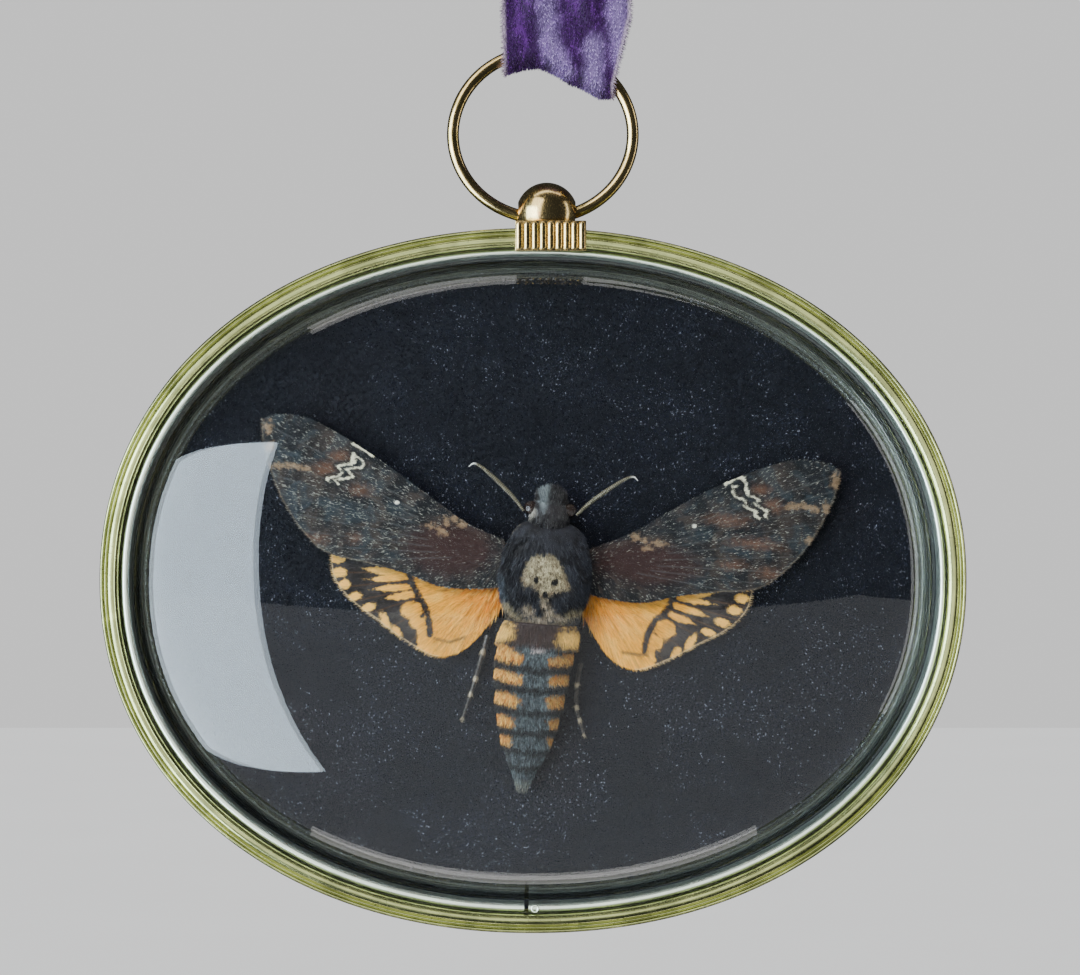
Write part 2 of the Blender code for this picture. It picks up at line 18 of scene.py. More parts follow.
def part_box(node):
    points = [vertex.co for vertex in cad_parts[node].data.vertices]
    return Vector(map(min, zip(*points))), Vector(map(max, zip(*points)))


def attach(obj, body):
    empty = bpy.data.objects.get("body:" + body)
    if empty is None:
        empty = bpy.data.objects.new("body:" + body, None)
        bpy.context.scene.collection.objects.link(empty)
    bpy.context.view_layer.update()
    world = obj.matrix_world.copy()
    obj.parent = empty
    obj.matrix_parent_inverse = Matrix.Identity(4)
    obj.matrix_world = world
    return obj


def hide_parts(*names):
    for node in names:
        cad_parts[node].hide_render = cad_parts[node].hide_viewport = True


bl_info = {
    "name": "Framed hawk moth",
    "version": (1, 0, 0),
    "blender": (4, 5, 0),
    "location": "3D View > Sidebar > Moth frame",
    "description": "Dresses the solids of a moth specimen in an oval brass frame",
    "category": "Object",
}

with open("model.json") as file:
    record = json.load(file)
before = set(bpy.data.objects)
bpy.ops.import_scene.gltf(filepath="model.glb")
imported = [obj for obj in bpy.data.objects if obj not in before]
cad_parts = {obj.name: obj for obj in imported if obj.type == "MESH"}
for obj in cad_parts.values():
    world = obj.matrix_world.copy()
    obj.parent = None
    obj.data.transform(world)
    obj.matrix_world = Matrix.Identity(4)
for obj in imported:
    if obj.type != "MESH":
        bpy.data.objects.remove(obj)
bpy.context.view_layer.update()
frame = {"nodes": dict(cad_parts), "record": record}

MM = 0.001
PER_SQUARE_MM = 1e6
GAP = 0.3


CENTRE = np.zeros(3)


def node_box(name):
    """Lowest and highest corner of a packed node, in drawing millimetres."""
    low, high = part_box(name)
    return np.array(low) / MM - CENTRE, np.array(high) / MM - CENTRE


def slot_colour(name):
    """The record's colour for one of its material slots."""
    found = next(entry for entry in frame["record"]["materials"] if entry["slot"] == name)
    return tuple(found["base_color"][:3])


# Sizes read from the packed solids
RIM_LOW, RIM_HIGH = node_box("rim")
CENTRE = np.array(((RIM_LOW[0] + RIM_HIGH[0]) / 2, 0.0, (RIM_LOW[2] + RIM_HIGH[2]) / 2))
HALF_WIDTH = (RIM_HIGH[0] - RIM_LOW[0]) / 2
HALF_HEIGHT = (RIM_HIGH[2] - RIM_LOW[2]) / 2
RIM_FRONT = RIM_LOW[1]
RIM_BACK = RIM_HIGH[1]
SLIP_LOW, SLIP_HIGH = node_box("slip_ring")
GLASS_LOW, GLASS_HIGH = node_box("glass_dome")
PAD_LOW, PAD_HIGH = node_box("velvet_pad")
COLLAR_LOW, COLLAR_HIGH = node_box("hanger_collar")

# Oval frame
OVAL_POWER = 2.1
BEAD_WIDTH = 3.3
BEAD_DEPTH = 3.0
RIM_WALL = 1.0
REAR_LIP = 5.0
LIP_THICKNESS = 0.9
SLIP_INSET = BEAD_WIDTH + GAP
SLIP_NARROW = 1.05
SLIP_WIDE = 1.6
SLIP_JOINT_X = -1.2
SLIP_JOINT_GAP = 0.8

# Domed glass
DOME_INSET = 5.3
GLASS_WALL = 1.4
GLASS_FLANGE = 1.8
GLASS_RISE = -GLASS_LOW[1] + GLASS_HIGH[1] - GLASS_FLANGE
DOME_POWER = 2.3
DOME_FALL = 0.62

# Hanger
BALL_RADIUS = 5.4
BALL_X = 2.4
BALL_Z = 63.9
BORE_RADIUS = 1.85
BORE_Z = 63.68
COLLAR_PLATE = 0.6
FLUTES = 9
FLUTE_RISE = 0.55
RING_X = 1.7
RING_Z = 77.7
RING_HALF_WIDTH = 15.7
RING_HALF_HEIGHT = 14.6
WIRE_RADIUS = 1.05

# Ribbon
RIBBON_THICKNESS = 0.75
RIBBON_LOW_WIDTH = 18.8
RIBBON_TOP_WIDTH = 22.2
RIBBON_LOW_X = 4.5
RIBBON_TOP_X = 5.8
RIBBON_GATHER = 6.0
RIBBON_WIDE_Z = 98.0
LOOP_SLACK = 1.0
LOOP_SAG = 2.2
SAG_SHARES = (0.3, 0.6, 0.88, 1.0)
LOOP_HALF_GAP = 3.6
LOOP_TOP = 119.0
FOLD_DEPTH = 0.7
FOLD_COUNT = 2.5
FOLD_START = 0.6
FOLD_LOW_Z = 95.0
FOLD_HIGH_Z = 115.0
FOLD_FADE = 7.0
# Paths of the ribbon's painted highlights along its folds, as (across, up) in millimetres
PAINTED_HIGHLIGHT_PATHS = (((2.3, 100.0), (2.6, 94.0), (5.0, 88.5)), ((10.6, 93.0), (10.2, 84.5)), ((14.4, 99.5), (15.4, 90.0)))

# Moth
MOTH_X = 2.1
MOTH_Z = 1.7
MOTH_TURN = math.radians(4.85)
BODY_FOOT = 0.4
THORAX_BACK = -9.6
THORAX_FRONT = 8.3
THORAX_LENGTH = 10.6
THORAX_HALF_WIDTH = 7.9
THORAX_TOP = 9.2
HEAD_FRONT = 13.9
HEAD_HALF_WIDTH = 4.1
HEAD_TOP = 6.8
TAIL = -38.1
ABDOMEN_HALF_WIDTH = 7.1
ABDOMEN_TOP = 8.6
ABDOMEN_SIDE_SHIFT = -0.8
SEGMENT_EDGES = (-13.0, -16.7, -20.3, -24.2, -27.8, -31.0, -34.0)
WING_THICKNESS = 0.16
WING_SCALE = {"left": 1.0, "right": 0.965}
WING_BOW = {"left": -0.8, "right": 0.7}
FOREWING_HEIGHT = 2.4
HINDWING_HEIGHT = 1.0
WING_ROOT = 7.4
FOREWING_LEADING = ((7.4, 4.4), (14.6, 7.6), (21.0, 11.7), (28.0, 16.1), (36.0, 20.4), (43.0, 23.1),
                    (48.5, 23.2), (51.2, 21.9))
FOREWING_TRAILING = ((7.4, -3.6), (12.6, -4.3), (18.0, -4.3), (24.0, -2.6), (31.0, -1.3),
                     (37.8, -0.2), (42.2, 2.9), (46.3, 8.0), (49.1, 13.6), (50.8, 18.6), (51.2, 21.9))
HINDWING_LEADING = ((6.6, 0.6), (14.0, 2.6), (23.0, 3.4), (31.0, 2.8), (37.4, 0.6))
HINDWING_TRAILING = ((6.8, -6.4), (8.6, -9.6), (11.4, -13.5), (14.5, -15.9), (18.0, -16.5),
                     (21.8, -15.0), (25.4, -13.0), (28.8, -10.8), (32.0, -8.9), (34.8, -6.6),
                     (36.8, -3.6), (37.4, 0.6))
ANTENNA = ((4.6, 10.0, 5.0), (6.6, 12.2, 4.9), (9.4, 14.6, 4.6), (12.2, 16.7, 4.3), (13.8, 17.4, 4.2),
           (14.7, 16.8, 4.1))
ANTENNA_RADIUS = 0.36
LEG_RADIUS = 0.5
LEGS = {
    "left": ((-9.0, -12.2, 1.1), (-9.6, -15.2, 1.0), (-10.5, -19.9, 0.9), (-11.1, -22.6, 0.8),
             (-12.2, -27.2, 0.8)),
    "right": ((7.6, -15.6, 1.1), (7.2, -19.4, 1.0), (7.5, -23.4, 0.9), (8.2, -25.6, 0.8),
              (9.2, -28.2, 0.8)),
}
SIDES = (("left", -1.0), ("right", 1.0))

# Markings of the forewings, outward from the body and along it
FOREWING_MARKS = {
    "left": {
        "zigzags": (((34.9, 17.4), (34.4, 16.6), (34.5, 15.8), (35.1, 15.4), (36.5, 15.2), (37.5, 14.9),
                     (36.9, 14.4), (36.4, 13.9), (37.0, 13.3), (38.3, 12.9), (39.1, 12.6), (38.5, 12.0)),
                    ((34.3, 16.9), (33.6, 16.6), (33.0, 16.1), (32.9, 15.5), (33.3, 15.0), (34.9, 14.8),
                     (35.8, 14.5), (35.2, 14.0), (34.5, 13.3), (35.4, 13.0), (36.4, 12.8), (37.7, 12.5),
                     (37.0, 11.8))),
        "blotch": (((35.0, 19.0), (33.9, 18.6), (33.2, 18.2)), ((32.8, 18.2), (32.0, 17.6), (31.3, 17.2)),
                   ((34.9, 16.9), (34.9, 15.9))),
        "rust": (((39.2, 14.2), (2.0, 1.3)), ((37.2, 16.6), (1.6, 1.0)), ((33.0, 11.1), (1.7, 0.8)),
                 ((33.4, 2.7), (0.9, 0.7)), ((40.2, 2.1), (1.5, 0.7))),
        "streak": ((49.2, 13.8), (46.1, 14.4), (42.6, 14.0)),
        "tips": (((50.0, 20.6), (0.7, 1.0)), ((49.4, 17.2), (0.8, 0.9)), ((47.4, 8.6), (0.4, 0.6))),
        "dot": (26.6, 9.5),
        "base": (((20.4, 5.9), (0.9, 0.4)), ((16.6, 7.6), (1.1, 0.4)), ((18.3, 5.2), (0.8, 0.5)),
                 ((15.0, 6.6), (0.6, 0.5)), ((17.6, 6.4), (0.4, 0.7))),
        "maroon": ((17.0, 2.2), (7.6, 4.4)),
    },
    "right": {
        "zigzags": (((33.0, 18.3), (33.6, 17.8), (33.4, 17.0), (33.9, 16.2), (34.0, 15.8), (35.0, 15.7),
                     (36.0, 15.2), (35.2, 14.7), (35.6, 14.2), (36.6, 13.8), (37.6, 13.3), (37.1, 12.6),
                     (37.8, 12.0)),
                    ((32.0, 17.3), (31.1, 17.1), (31.2, 16.2), (31.6, 15.7), (32.1, 15.3), (33.1, 15.2),
                     (33.7, 14.5), (33.3, 14.1), (34.5, 13.5), (35.6, 13.2), (35.3, 12.6), (36.3, 12.0))),
        "blotch": (((31.8, 18.9), (32.6, 18.9), (33.1, 18.4)), ((29.9, 17.5), (31.4, 18.5)),
                   ((33.6, 16.9), (33.9, 16.2))),
        "rust": (((38.2, 14.4), (1.7, 1.1)), ((36.0, 16.9), (1.3, 0.9)), ((30.6, 11.3), (3.2, 0.8)),
                 ((36.0, 7.6), (3.4, 0.8)), ((38.7, 2.7), (1.8, 0.8)), ((32.3, 3.6), (1.6, 0.7))),
        "streak": ((41.0, 14.6), (43.3, 15.0), (46.2, 14.4)),
        "tips": (((49.0, 19.4), (0.8, 1.4)), ((47.7, 14.7), (0.6, 0.9)), ((45.2, 8.9), (0.5, 0.6))),
        "dot": (25.1, 9.8),
        "base": (((15.2, 7.1), (0.7, 0.7)), ((17.3, 5.3), (0.8, 0.5)), ((19.3, 6.2), (1.1, 0.5)),
                 ((16.6, 6.6), (0.5, 0.4))),
        "maroon": ((17.5, 2.6), (8.6, 3.6)),
    },
}

# Markings of the hindwings: tongues and spots stay yellow in the dark zone beyond the inner band
HINDWING_MARKS = {
    "left": {
        "inner": ((23.7, -1.6), (23.0, -4.0), (22.3, -5.0), (21.6, -6.3), (20.6, -7.7), (19.9, -8.8), (19.5, -10.1),
                  (19.2, -11.4), (19.0, -12.8)),
        "zone": ((23.9, 6.0), (23.7, -1.6), (22.3, -5.0), (20.6, -7.7), (20.2, -9.4), (20.4, -10.4), (22.7, -11.2),
                 (21.4, -12.1), (21.1, -14.0), (21.2, -18.0), (42.0, -14.0), (42.0, 6.0)),
        "tongues": (((24.2, -2.9), (31.0, -2.4), 0.8), ((24.1, -3.4), (30.4, -4.2), 0.66),
                    ((23.2, -4.9), (29.4, -5.8), 0.68), ((22.1, -6.0), (27.2, -7.3), 0.76)),
        "blobs": (((22.5, -8.9), (1.9, 1.5)), ((21.5, -10.9), (1.2, 1.1))),
        "spots": (((36.1, -0.9), 1.5, 1.0), ((35.6, -3.4), 1.25, 0.85), ((34.5, -5.4), 1.1, 0.75),
                  ((32.4, -7.3), 1.2, 0.7), ((30.0, -9.0), 1.25, 0.7), ((26.9, -11.2), 0.6, 1.7),
                  ((24.7, -13.0), 0.65, 1.2)),
        "thin": ((18.3, -13.4), (15.6, -13.9), (13.0, -12.8)),
    },
    "right": {
        "inner": ((22.8, -1.6), (22.5, -2.8), (22.0, -4.5), (21.1, -5.9), (19.8, -7.1), (19.1, -8.5), (18.7, -9.9),
                  (18.4, -11.2), (18.4, -12.5)),
        "zone": ((23.2, 6.0), (22.9, -1.6), (22.0, -4.5), (19.9, -7.1), (19.3, -8.6), (20.6, -10.4), (22.6, -9.9),
                 (21.1, -11.0), (20.0, -12.9), (20.5, -14.1), (20.4, -18.0), (42.0, -14.0), (42.0, 6.0)),
        "tongues": (((23.6, -2.5), (29.7, -1.4), 0.85), ((23.5, -2.9), (29.3, -3.4), 0.66),
                    ((23.0, -4.2), (28.4, -5.5), 0.76), ((22.1, -5.7), (26.1, -7.0), 0.78)),
        "blobs": (((21.6, -8.5), (1.8, 1.6)), ((20.4, -10.9), (1.1, 1.3))),
        "spots": (((35.1, 0.2), 1.4, 0.9), ((34.5, -2.0), 1.2, 0.85), ((33.4, -4.2), 1.25, 0.8),
                  ((31.4, -6.5), 1.3, 0.7), ((29.1, -8.4), 1.2, 0.65), ((26.2, -10.5), 0.6, 1.8),
                  ((23.9, -12.3), 0.7, 1.1)),
        "thin": ((19.0, -13.2), (17.4, -13.3), (14.6, -13.1)),
    },
}

# Markings of the thorax
SKULL = ((-2.6, 2.3), (-1.5, 2.7), (-0.4, 2.7), (0.5, 3.1), (1.4, 2.8), (2.1, 2.0), (2.9, 0.6), (3.6, -0.6),
         (4.3, -1.7), (4.3, -2.6), (2.8, -3.2), (1.5, -3.4), (0.9, -4.4), (-0.3, -4.6), (-1.1, -3.3),
         (-2.0, -2.6), (-3.5, -2.7), (-3.9, -1.7), (-3.6, 0.1), (-3.1, 1.4))
SKULL_EYES = (((-1.42, -1.5), (0.34, 0.6), 0.1), ((1.72, -1.65), (0.62, 0.5), 0.5))
SKULL_NOSE = ((0.35, -4.0), (0.42, 0.5), 0.0)
CHIN = (((1.3, -6.7), (0.75, 0.95)), ((-2.4, -6.5), (0.95, 0.7)), ((0.3, -5.3), (0.5, 0.6)),
        ((-0.6, -8.0), (1.6, 0.6)), ((3.0, -7.4), (0.7, 0.6)))
CRESCENT = ((-6.2, -6.0), (-4.9, -7.4), (-3.4, -8.4), (-1.2, -9.1), (1.0, -9.2), (3.0, -8.6), (4.6, -6.8),
            (6.4, -6.3))
GROOVE = ((-3.6, 5.2), (-5.5, 3.2), (-6.4, 1.4), (-6.4, -0.8), (-6.0, -4.2))
PALE_EDGE = ((-5.6, 7.6), (-6.9, 6.2), (-8.1, 3.4))
BLUE_EDGE = ((-7.0, -1.2), (-6.9, -3.4), (-6.2, -5.8))

# Markings of the abdomen
YELLOW_SPOTS = (
    ((-7.8, -12.7), (-5.8, -12.6), (-3.8, -14.0), (-2.5, -14.6), (-2.9, -16.0), (-4.8, -16.3), (-7.6, -15.7)),
    ((-7.8, -16.9), (-5.4, -17.2), (-2.3, -18.2), (-2.5, -19.5), (-4.5, -19.5), (-7.4, -18.9)),
    ((-7.4, -21.0), (-5.5, -21.1), (-3.4, -21.4), (-2.3, -22.6), (-3.1, -23.6), (-5.6, -23.3), (-7.4, -22.7)),
    ((-6.9, -25.0), (-4.8, -25.0), (-3.0, -26.1), (-3.3, -27.2), (-4.8, -27.3), (-6.6, -26.6)),
    ((-6.0, -28.4), (-3.8, -28.8), (-3.1, -29.7), (-3.6, -30.4), (-5.4, -30.2)),
    ((1.8, -14.9), (6.6, -13.2), (6.8, -15.4), (4.6, -16.2), (2.2, -16.1)),
    ((2.1, -17.9), (6.4, -17.0), (6.4, -18.8), (2.5, -19.3)),
    ((2.1, -21.4), (6.4, -20.6), (6.2, -22.9), (2.3, -23.2)),
    ((2.6, -25.3), (5.8, -24.7), (5.6, -26.4), (3.2, -26.9)),
    ((2.7, -28.4), (4.9, -28.0), (4.6, -29.6), (3.0, -29.9)),
)
BLACK_BANDS = (-16.6, -20.1, -24.1, -27.7, -31.0, -33.9)
TUFTS = (((-6.6, -10.6), (2.2, 1.5)), ((5.0, -10.9), (2.2, 1.4)))
WHITE_TUFT = ((-0.2, -13.4), (1.3, 0.5))

# Studio
LENS = 85.0
SENSOR = 36.0
PHOTO_WIDTH_MM = 187.5
PHOTO_MIDDLE = (1.2, 16.1)
FLOOR_Z = -780.0


def to_frame(points):
    """Drawing millimetres to metres in the frame's coordinates."""
    return (np.asarray(points, float) + CENTRE) * MM


def on_moth(across, along, height):
    """Drawing coordinates of places on the moth."""
    across, along, height = np.broadcast_arrays(across, along, height)
    x = MOTH_X + across * math.cos(MOTH_TURN) + along * math.sin(MOTH_TURN)
    z = MOTH_Z - across * math.sin(MOTH_TURN) + along * math.cos(MOTH_TURN)
    return np.stack((x, PAD_LOW[1] - height, z), axis=-1)


def moth_direction(across, along, height):
    """Unit vectors in the frame for directions on the moth."""
    turned = on_moth(across, along, height) - on_moth(0.0, 0.0, 0.0)
    return turned / np.linalg.norm(turned, axis=-1, keepdims=True)


def smooth_curve(points, count):
    """Points spaced evenly along a Catmull-Rom curve through the given points."""
    knots = np.asarray(points, float)
    knots = np.vstack((2 * knots[0] - knots[1], knots, 2 * knots[-1] - knots[-2]))
    t = np.linspace(0.0, 1.0, 24, endpoint=False)[:, None]
    pieces = []
    for a, b, c, d in zip(knots, knots[1:], knots[2:], knots[3:]):
        pieces.append(0.5 * (2 * b + (c - a) * t + (2 * a - 5 * b + 4 * c - d) * t ** 2
                             + (3 * b - a - 3 * c + d) * t ** 3))
    fine = np.vstack((*pieces, knots[-2:-1]))
    lengths = np.concatenate(([0.0], np.cumsum(np.linalg.norm(np.diff(fine, axis=0), axis=1))))
    wanted = np.linspace(0.0, lengths[-1], count)
    return np.stack([np.interp(wanted, lengths, fine[:, k]) for k in range(fine.shape[1])], axis=1)


def rounded(corners, steps=5):
    """A closed outline from corners (x, y, reach), each rounded off over its reach."""
    corners = np.asarray(corners, float)
    places = corners[:, :2]
    points = []
    for i, reach in enumerate(corners[:, 2]):
        corner = places[i]
        sides = [places[i - 1] - corner, places[(i + 1) % len(places)] - corner]
        start, end = [corner + side * min(0.49, reach / np.linalg.norm(side)) for side in sides]
        shares = np.linspace(0.0, 1.0, steps)[:, None] if reach else np.zeros((1, 1))
        points.append((1 - shares) ** 2 * start + 2 * shares * (1 - shares) * corner + shares ** 2 * end)
    return np.vstack(points)


def oval_curve(angles, inset=0.0):
    """Points x and z of the oval at these angles, moved in along its normal."""
    c = np.cos(angles)
    s = np.sin(angles)
    x = HALF_WIDTH * np.sign(c) * np.abs(c) ** (2 / OVAL_POWER)
    z = HALF_HEIGHT * np.sign(s) * np.abs(s) ** (2 / OVAL_POWER)
    slope_x = np.sign(x) * np.abs(x / HALF_WIDTH) ** (OVAL_POWER - 1) / HALF_WIDTH
    slope_z = np.sign(z) * np.abs(z / HALF_HEIGHT) ** (OVAL_POWER - 1) / HALF_HEIGHT
    length = np.hypot(slope_x, slope_z)
    return x - inset * slope_x / length, z - inset * slope_z / length


def ripple(points, size, seed=0.0):
    """Smooth noise from -1 to 1 at points in millimetres, with features of about this size."""
    flat = np.asarray(points, float).reshape(-1, 3) / size + seed
    values = np.array([noise.noise(Vector(p)) for p in flat])
    return values.reshape(np.shape(points)[:-1])


def stroke_distance(places, path, half_width=0.0):
    """Distance from places to a line through path's points, less half its width."""
    path = np.asarray(path, float)
    best = np.full(len(places), np.inf)
    for start, end in zip(path, path[1:]):
        along = end - start
        share = np.clip((places - start) @ along / (along @ along), 0.0, 1.0)
        away = places - start - share[:, None] * along
        best = np.minimum(best, np.hypot(*away.T))
    return best - half_width


def patch_distance(places, outline):
    """Distance from places to a closed outline, negative inside it."""
    ring = np.vstack((outline, outline[:1]))
    inside = np.zeros(len(places), bool)
    x, y = places.T
    for (x0, y0), (x1, y1) in zip(ring, ring[1:]):
        if y0 == y1:
            continue
        crosses = (y0 > y) != (y1 > y)
        inside ^= crosses & (x < x0 + (y - y0) * (x1 - x0) / (y1 - y0))
    return np.where(inside, -1.0, 1.0) * stroke_distance(places, ring)


def spot_distance(places, centre, half_sizes, turn=0.0):
    """Rough distance from places to an ellipse, negative inside it."""
    x, y = (places - centre).T
    along = x * math.cos(turn) + y * math.sin(turn)
    across = y * math.cos(turn) - x * math.sin(turn)
    return (np.hypot(along / half_sizes[0], across / half_sizes[1]) - 1) * min(half_sizes)


def finger_distance(places, base, tip, half_width):
    """Rough distance from places to a pointed tongue between two points."""
    base, tip = np.array(base), np.array(tip)
    length = np.hypot(*(tip - base))
    turn = math.atan2(*(tip - base)[::-1])
    x, y = (places - base).T
    along = (x * math.cos(turn) + y * math.sin(turn)) / length
    across = np.abs(y * math.cos(turn) - x * math.sin(turn))
    swell = 1.5 * half_width * np.clip(along + 0.2, 0.0, 1.0) ** 0.6 * np.clip(1.0 - along, 0.0, 1.0) ** 0.6
    return np.maximum(across - swell, (np.abs(along - 0.4) - 0.6) * length * 0.2)


def nearest(*distances):
    """The smallest of several distance fields."""
    return np.minimum.reduce(distances)


# Meshes

def grid_mesh(name, points, around=False, along=False, capped=False, crease=40.0, merged=False, marks=None):
    """A mesh over rows and columns of drawing points, with a UV map in millimetres.

    The rows close on themselves where along is set and the columns where around is set. The ends
    of an open tube are closed with strips between mirrored columns where capped is set.
    """
    points = np.asarray(points, float)
    rows, columns = points.shape[:2]
    index = np.arange(rows * columns).reshape(rows, columns)
    grid = np.vstack((index, index[:1])) if along else index
    grid = np.hstack((grid, grid[:, :1])) if around else grid
    quads = np.stack((grid[:-1, :-1], grid[1:, :-1], grid[1:, 1:], grid[:-1, 1:]), axis=-1)
    places = points.reshape(-1, 3)
    row_steps = np.linalg.norm(np.diff(places[grid], axis=0), axis=2).mean(axis=1)
    column_steps = np.linalg.norm(np.diff(places[grid], axis=1), axis=2).mean(axis=0)
    u = np.concatenate(([0.0], np.cumsum(row_steps)))
    v = np.concatenate(([0.0], np.cumsum(column_steps)))
    u, v = np.meshgrid(u, v, indexing="ij")
    uv = np.stack((u, v), axis=-1)
    corners = np.stack((uv[:-1, :-1], uv[1:, :-1], uv[1:, 1:], uv[:-1, 1:]), axis=2).reshape(-1, 2)
    faces = quads.reshape(-1, 4)
    if capped:
        half = columns // 2
        strip = np.array([(j, j + 1, columns - 2 - j, columns - 1 - j) for j in range(half - 1)])
        last = strip + (rows - 1) * columns
        caps = np.vstack((strip, last))
        faces = np.vstack((faces, caps))
        corners = np.vstack((corners, places[caps][:, :, (0, 2)].reshape(-1, 2)))
    mesh = bpy.data.meshes.new(name)
    mesh.from_pydata(to_frame(places).tolist(), [], faces.tolist())
    mesh.uv_layers.new(name="length").uv.foreach_set("vector", corners.astype(np.float32).ravel())
    for key, values in (marks or {}).items():
        mark(mesh, key, values)
    work = bmesh.new()
    work.from_mesh(mesh)
    if merged:
        bmesh.ops.remove_doubles(work, verts=work.verts, dist=1e-7)
    bmesh.ops.recalc_face_normals(work, faces=work.faces)
    work.to_mesh(mesh)
    work.free()
    mesh.shade_smooth()
    mesh.set_sharp_from_angle(angle=math.radians(crease))
    return mesh


def mark(mesh, name, values):
    """Stores one number or one direction for each vertex."""
    values = np.asarray(values, np.float32)
    kind, field = ("FLOAT_VECTOR", "vector") if values.ndim > 1 else ("FLOAT", "value")
    layer = mesh.attributes.get(name) or mesh.attributes.new(name, kind, "POINT")
    layer.data.foreach_set(field, values.ravel())


def swept_oval(name, section, steps, **choices):
    """A closed section (inset, y) carried round the oval, starting at the top."""
    angles = np.linspace(0.0, 2 * math.pi, steps, endpoint=False) + math.pi / 2
    inset, y = np.asarray(section, float).T
    x, z = oval_curve(angles[:, None], inset[None, :])
    points = np.stack((x, np.broadcast_to(y, x.shape), z), axis=-1)
    return grid_mesh(name, points, around=True, along=True, **choices)


def tube_points(route, radii, sides, squash=1.0):
    """Rings of points round a route, lying square to it."""
    route = np.asarray(route, float)
    ahead = np.gradient(route, axis=0)
    ahead /= np.linalg.norm(ahead, axis=1, keepdims=True)
    side = np.cross(ahead, (0.0, 1.0, 0.0))
    side /= np.linalg.norm(side, axis=1, keepdims=True)
    rise = np.cross(side, ahead)
    turn = 2 * math.pi * np.arange(sides) / sides
    radii = np.broadcast_to(radii, len(route))[:, None, None]
    spread = (side[:, None] * np.cos(turn)[:, None] + squash * rise[:, None] * np.sin(turn)[:, None])
    return route[:, None] + radii * spread


def piece(name, mesh, finish, body, slot, *nodes):
    """Shows a mesh as a finished piece that rides on a body and stands for packed nodes."""
    mesh.name = name
    mesh.materials.clear()
    mesh.materials.append(finish)
    obj = bpy.data.objects.new(name, mesh)
    bpy.context.scene.collection.objects.link(obj)
    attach(obj, body)
    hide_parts(*nodes)
    return obj


def joined(*meshes):
    """One mesh from several, which aren't kept."""
    work = bmesh.new()
    for mesh in meshes:
        work.from_mesh(mesh)
    result = bpy.data.meshes.new(meshes[0].name)
    work.to_mesh(result)
    work.free()
    result.shade_smooth()
    result.set_sharp_from_angle(angle=math.radians(40))
    for mesh in meshes:
        bpy.data.meshes.remove(mesh)
    return result


def applied(mesh, tree, **values):
    """The mesh that a Geometry Nodes tree makes from this one, with its inputs set by name."""
    obj = bpy.data.objects.new("worked", mesh)
    bpy.context.scene.collection.objects.link(obj)
    modifier = obj.modifiers.new("work", "NODES")
    modifier.node_group = tree
    sockets = {item.name: item.identifier for item in tree.interface.items_tree if item.in_out == "INPUT"}
    for name, value in values.items():
        modifier[sockets[name]] = value
    view_layer = bpy.context.view_layer
    view_layer.update()
    made = bpy.data.meshes.new_from_object(obj.evaluated_get(bpy.context.evaluated_depsgraph_get()))
    bpy.data.objects.remove(obj)
    return made


# Geometry Nodes

class Nodes:
    """A Geometry Nodes tree with short calls for its sockets, nodes and links."""

    def __init__(self, name, **inputs):
        self.tree = bpy.data.node_groups.new(name, "GeometryNodeTree")
        face = self.tree.interface
        for label, kind in {"Geometry": "Geometry", **inputs}.items():
            face.new_socket(label, in_out="INPUT", socket_type="NodeSocket" + kind)
        face.new_socket("Geometry", in_out="OUTPUT", socket_type="NodeSocketGeometry")
        self.given = self.tree.nodes.new("NodeGroupInput").outputs

    def add(self, kind, inputs=None, **settings):
        node = self.tree.nodes.new(kind)
        for key, value in settings.items():
            setattr(node, key, value)
        for key, value in (inputs or {}).items():
            self.feed(node.inputs[key], value)
        return node

    def feed(self, socket, value):
        if isinstance(value, bpy.types.NodeSocket):
            self.tree.links.new(value, socket)
        else:
            socket.default_value = value

    def maths(self, operation, a, b=0.0):
        return self.add("ShaderNodeMath", {0: a, 1: b}, operation=operation).outputs[0]

    def scaled(self, vector, factor):
        node = self.add("ShaderNodeVectorMath", {0: vector}, operation="SCALE")
        self.feed(node.inputs["Scale"], factor)
        return node.outputs[0]

    def sum(self, a, b):
        return self.add("ShaderNodeVectorMath", {0: a, 1: b}, operation="ADD").outputs[0]

    def read(self, name, kind="FLOAT"):
        return self.add("GeometryNodeInputNamedAttribute", {"Name": name}, data_type=kind).outputs[0]

    def random(self, low, high, seed, kind="FLOAT"):
        node = self.add("FunctionNodeRandomValue", data_type=kind)
        first = 0 if kind == "FLOAT_VECTOR" else 2
        self.feed(node.inputs[first], low)
        self.feed(node.inputs[first + 1], high)
        self.feed(node.inputs["Seed"], seed)
        return node.outputs[0 if kind == "FLOAT_VECTOR" else 1]

    def end(self, geometry, material):
        whole = self.add("GeometryNodeRealizeInstances", {0: geometry}).outputs[0]
        dressed = self.add("GeometryNodeSetMaterial", {"Geometry": whole, "Material": material}).outputs[0]
        self.tree.links.new(dressed, self.tree.nodes.new("NodeGroupOutput").inputs[0])
        return self.tree


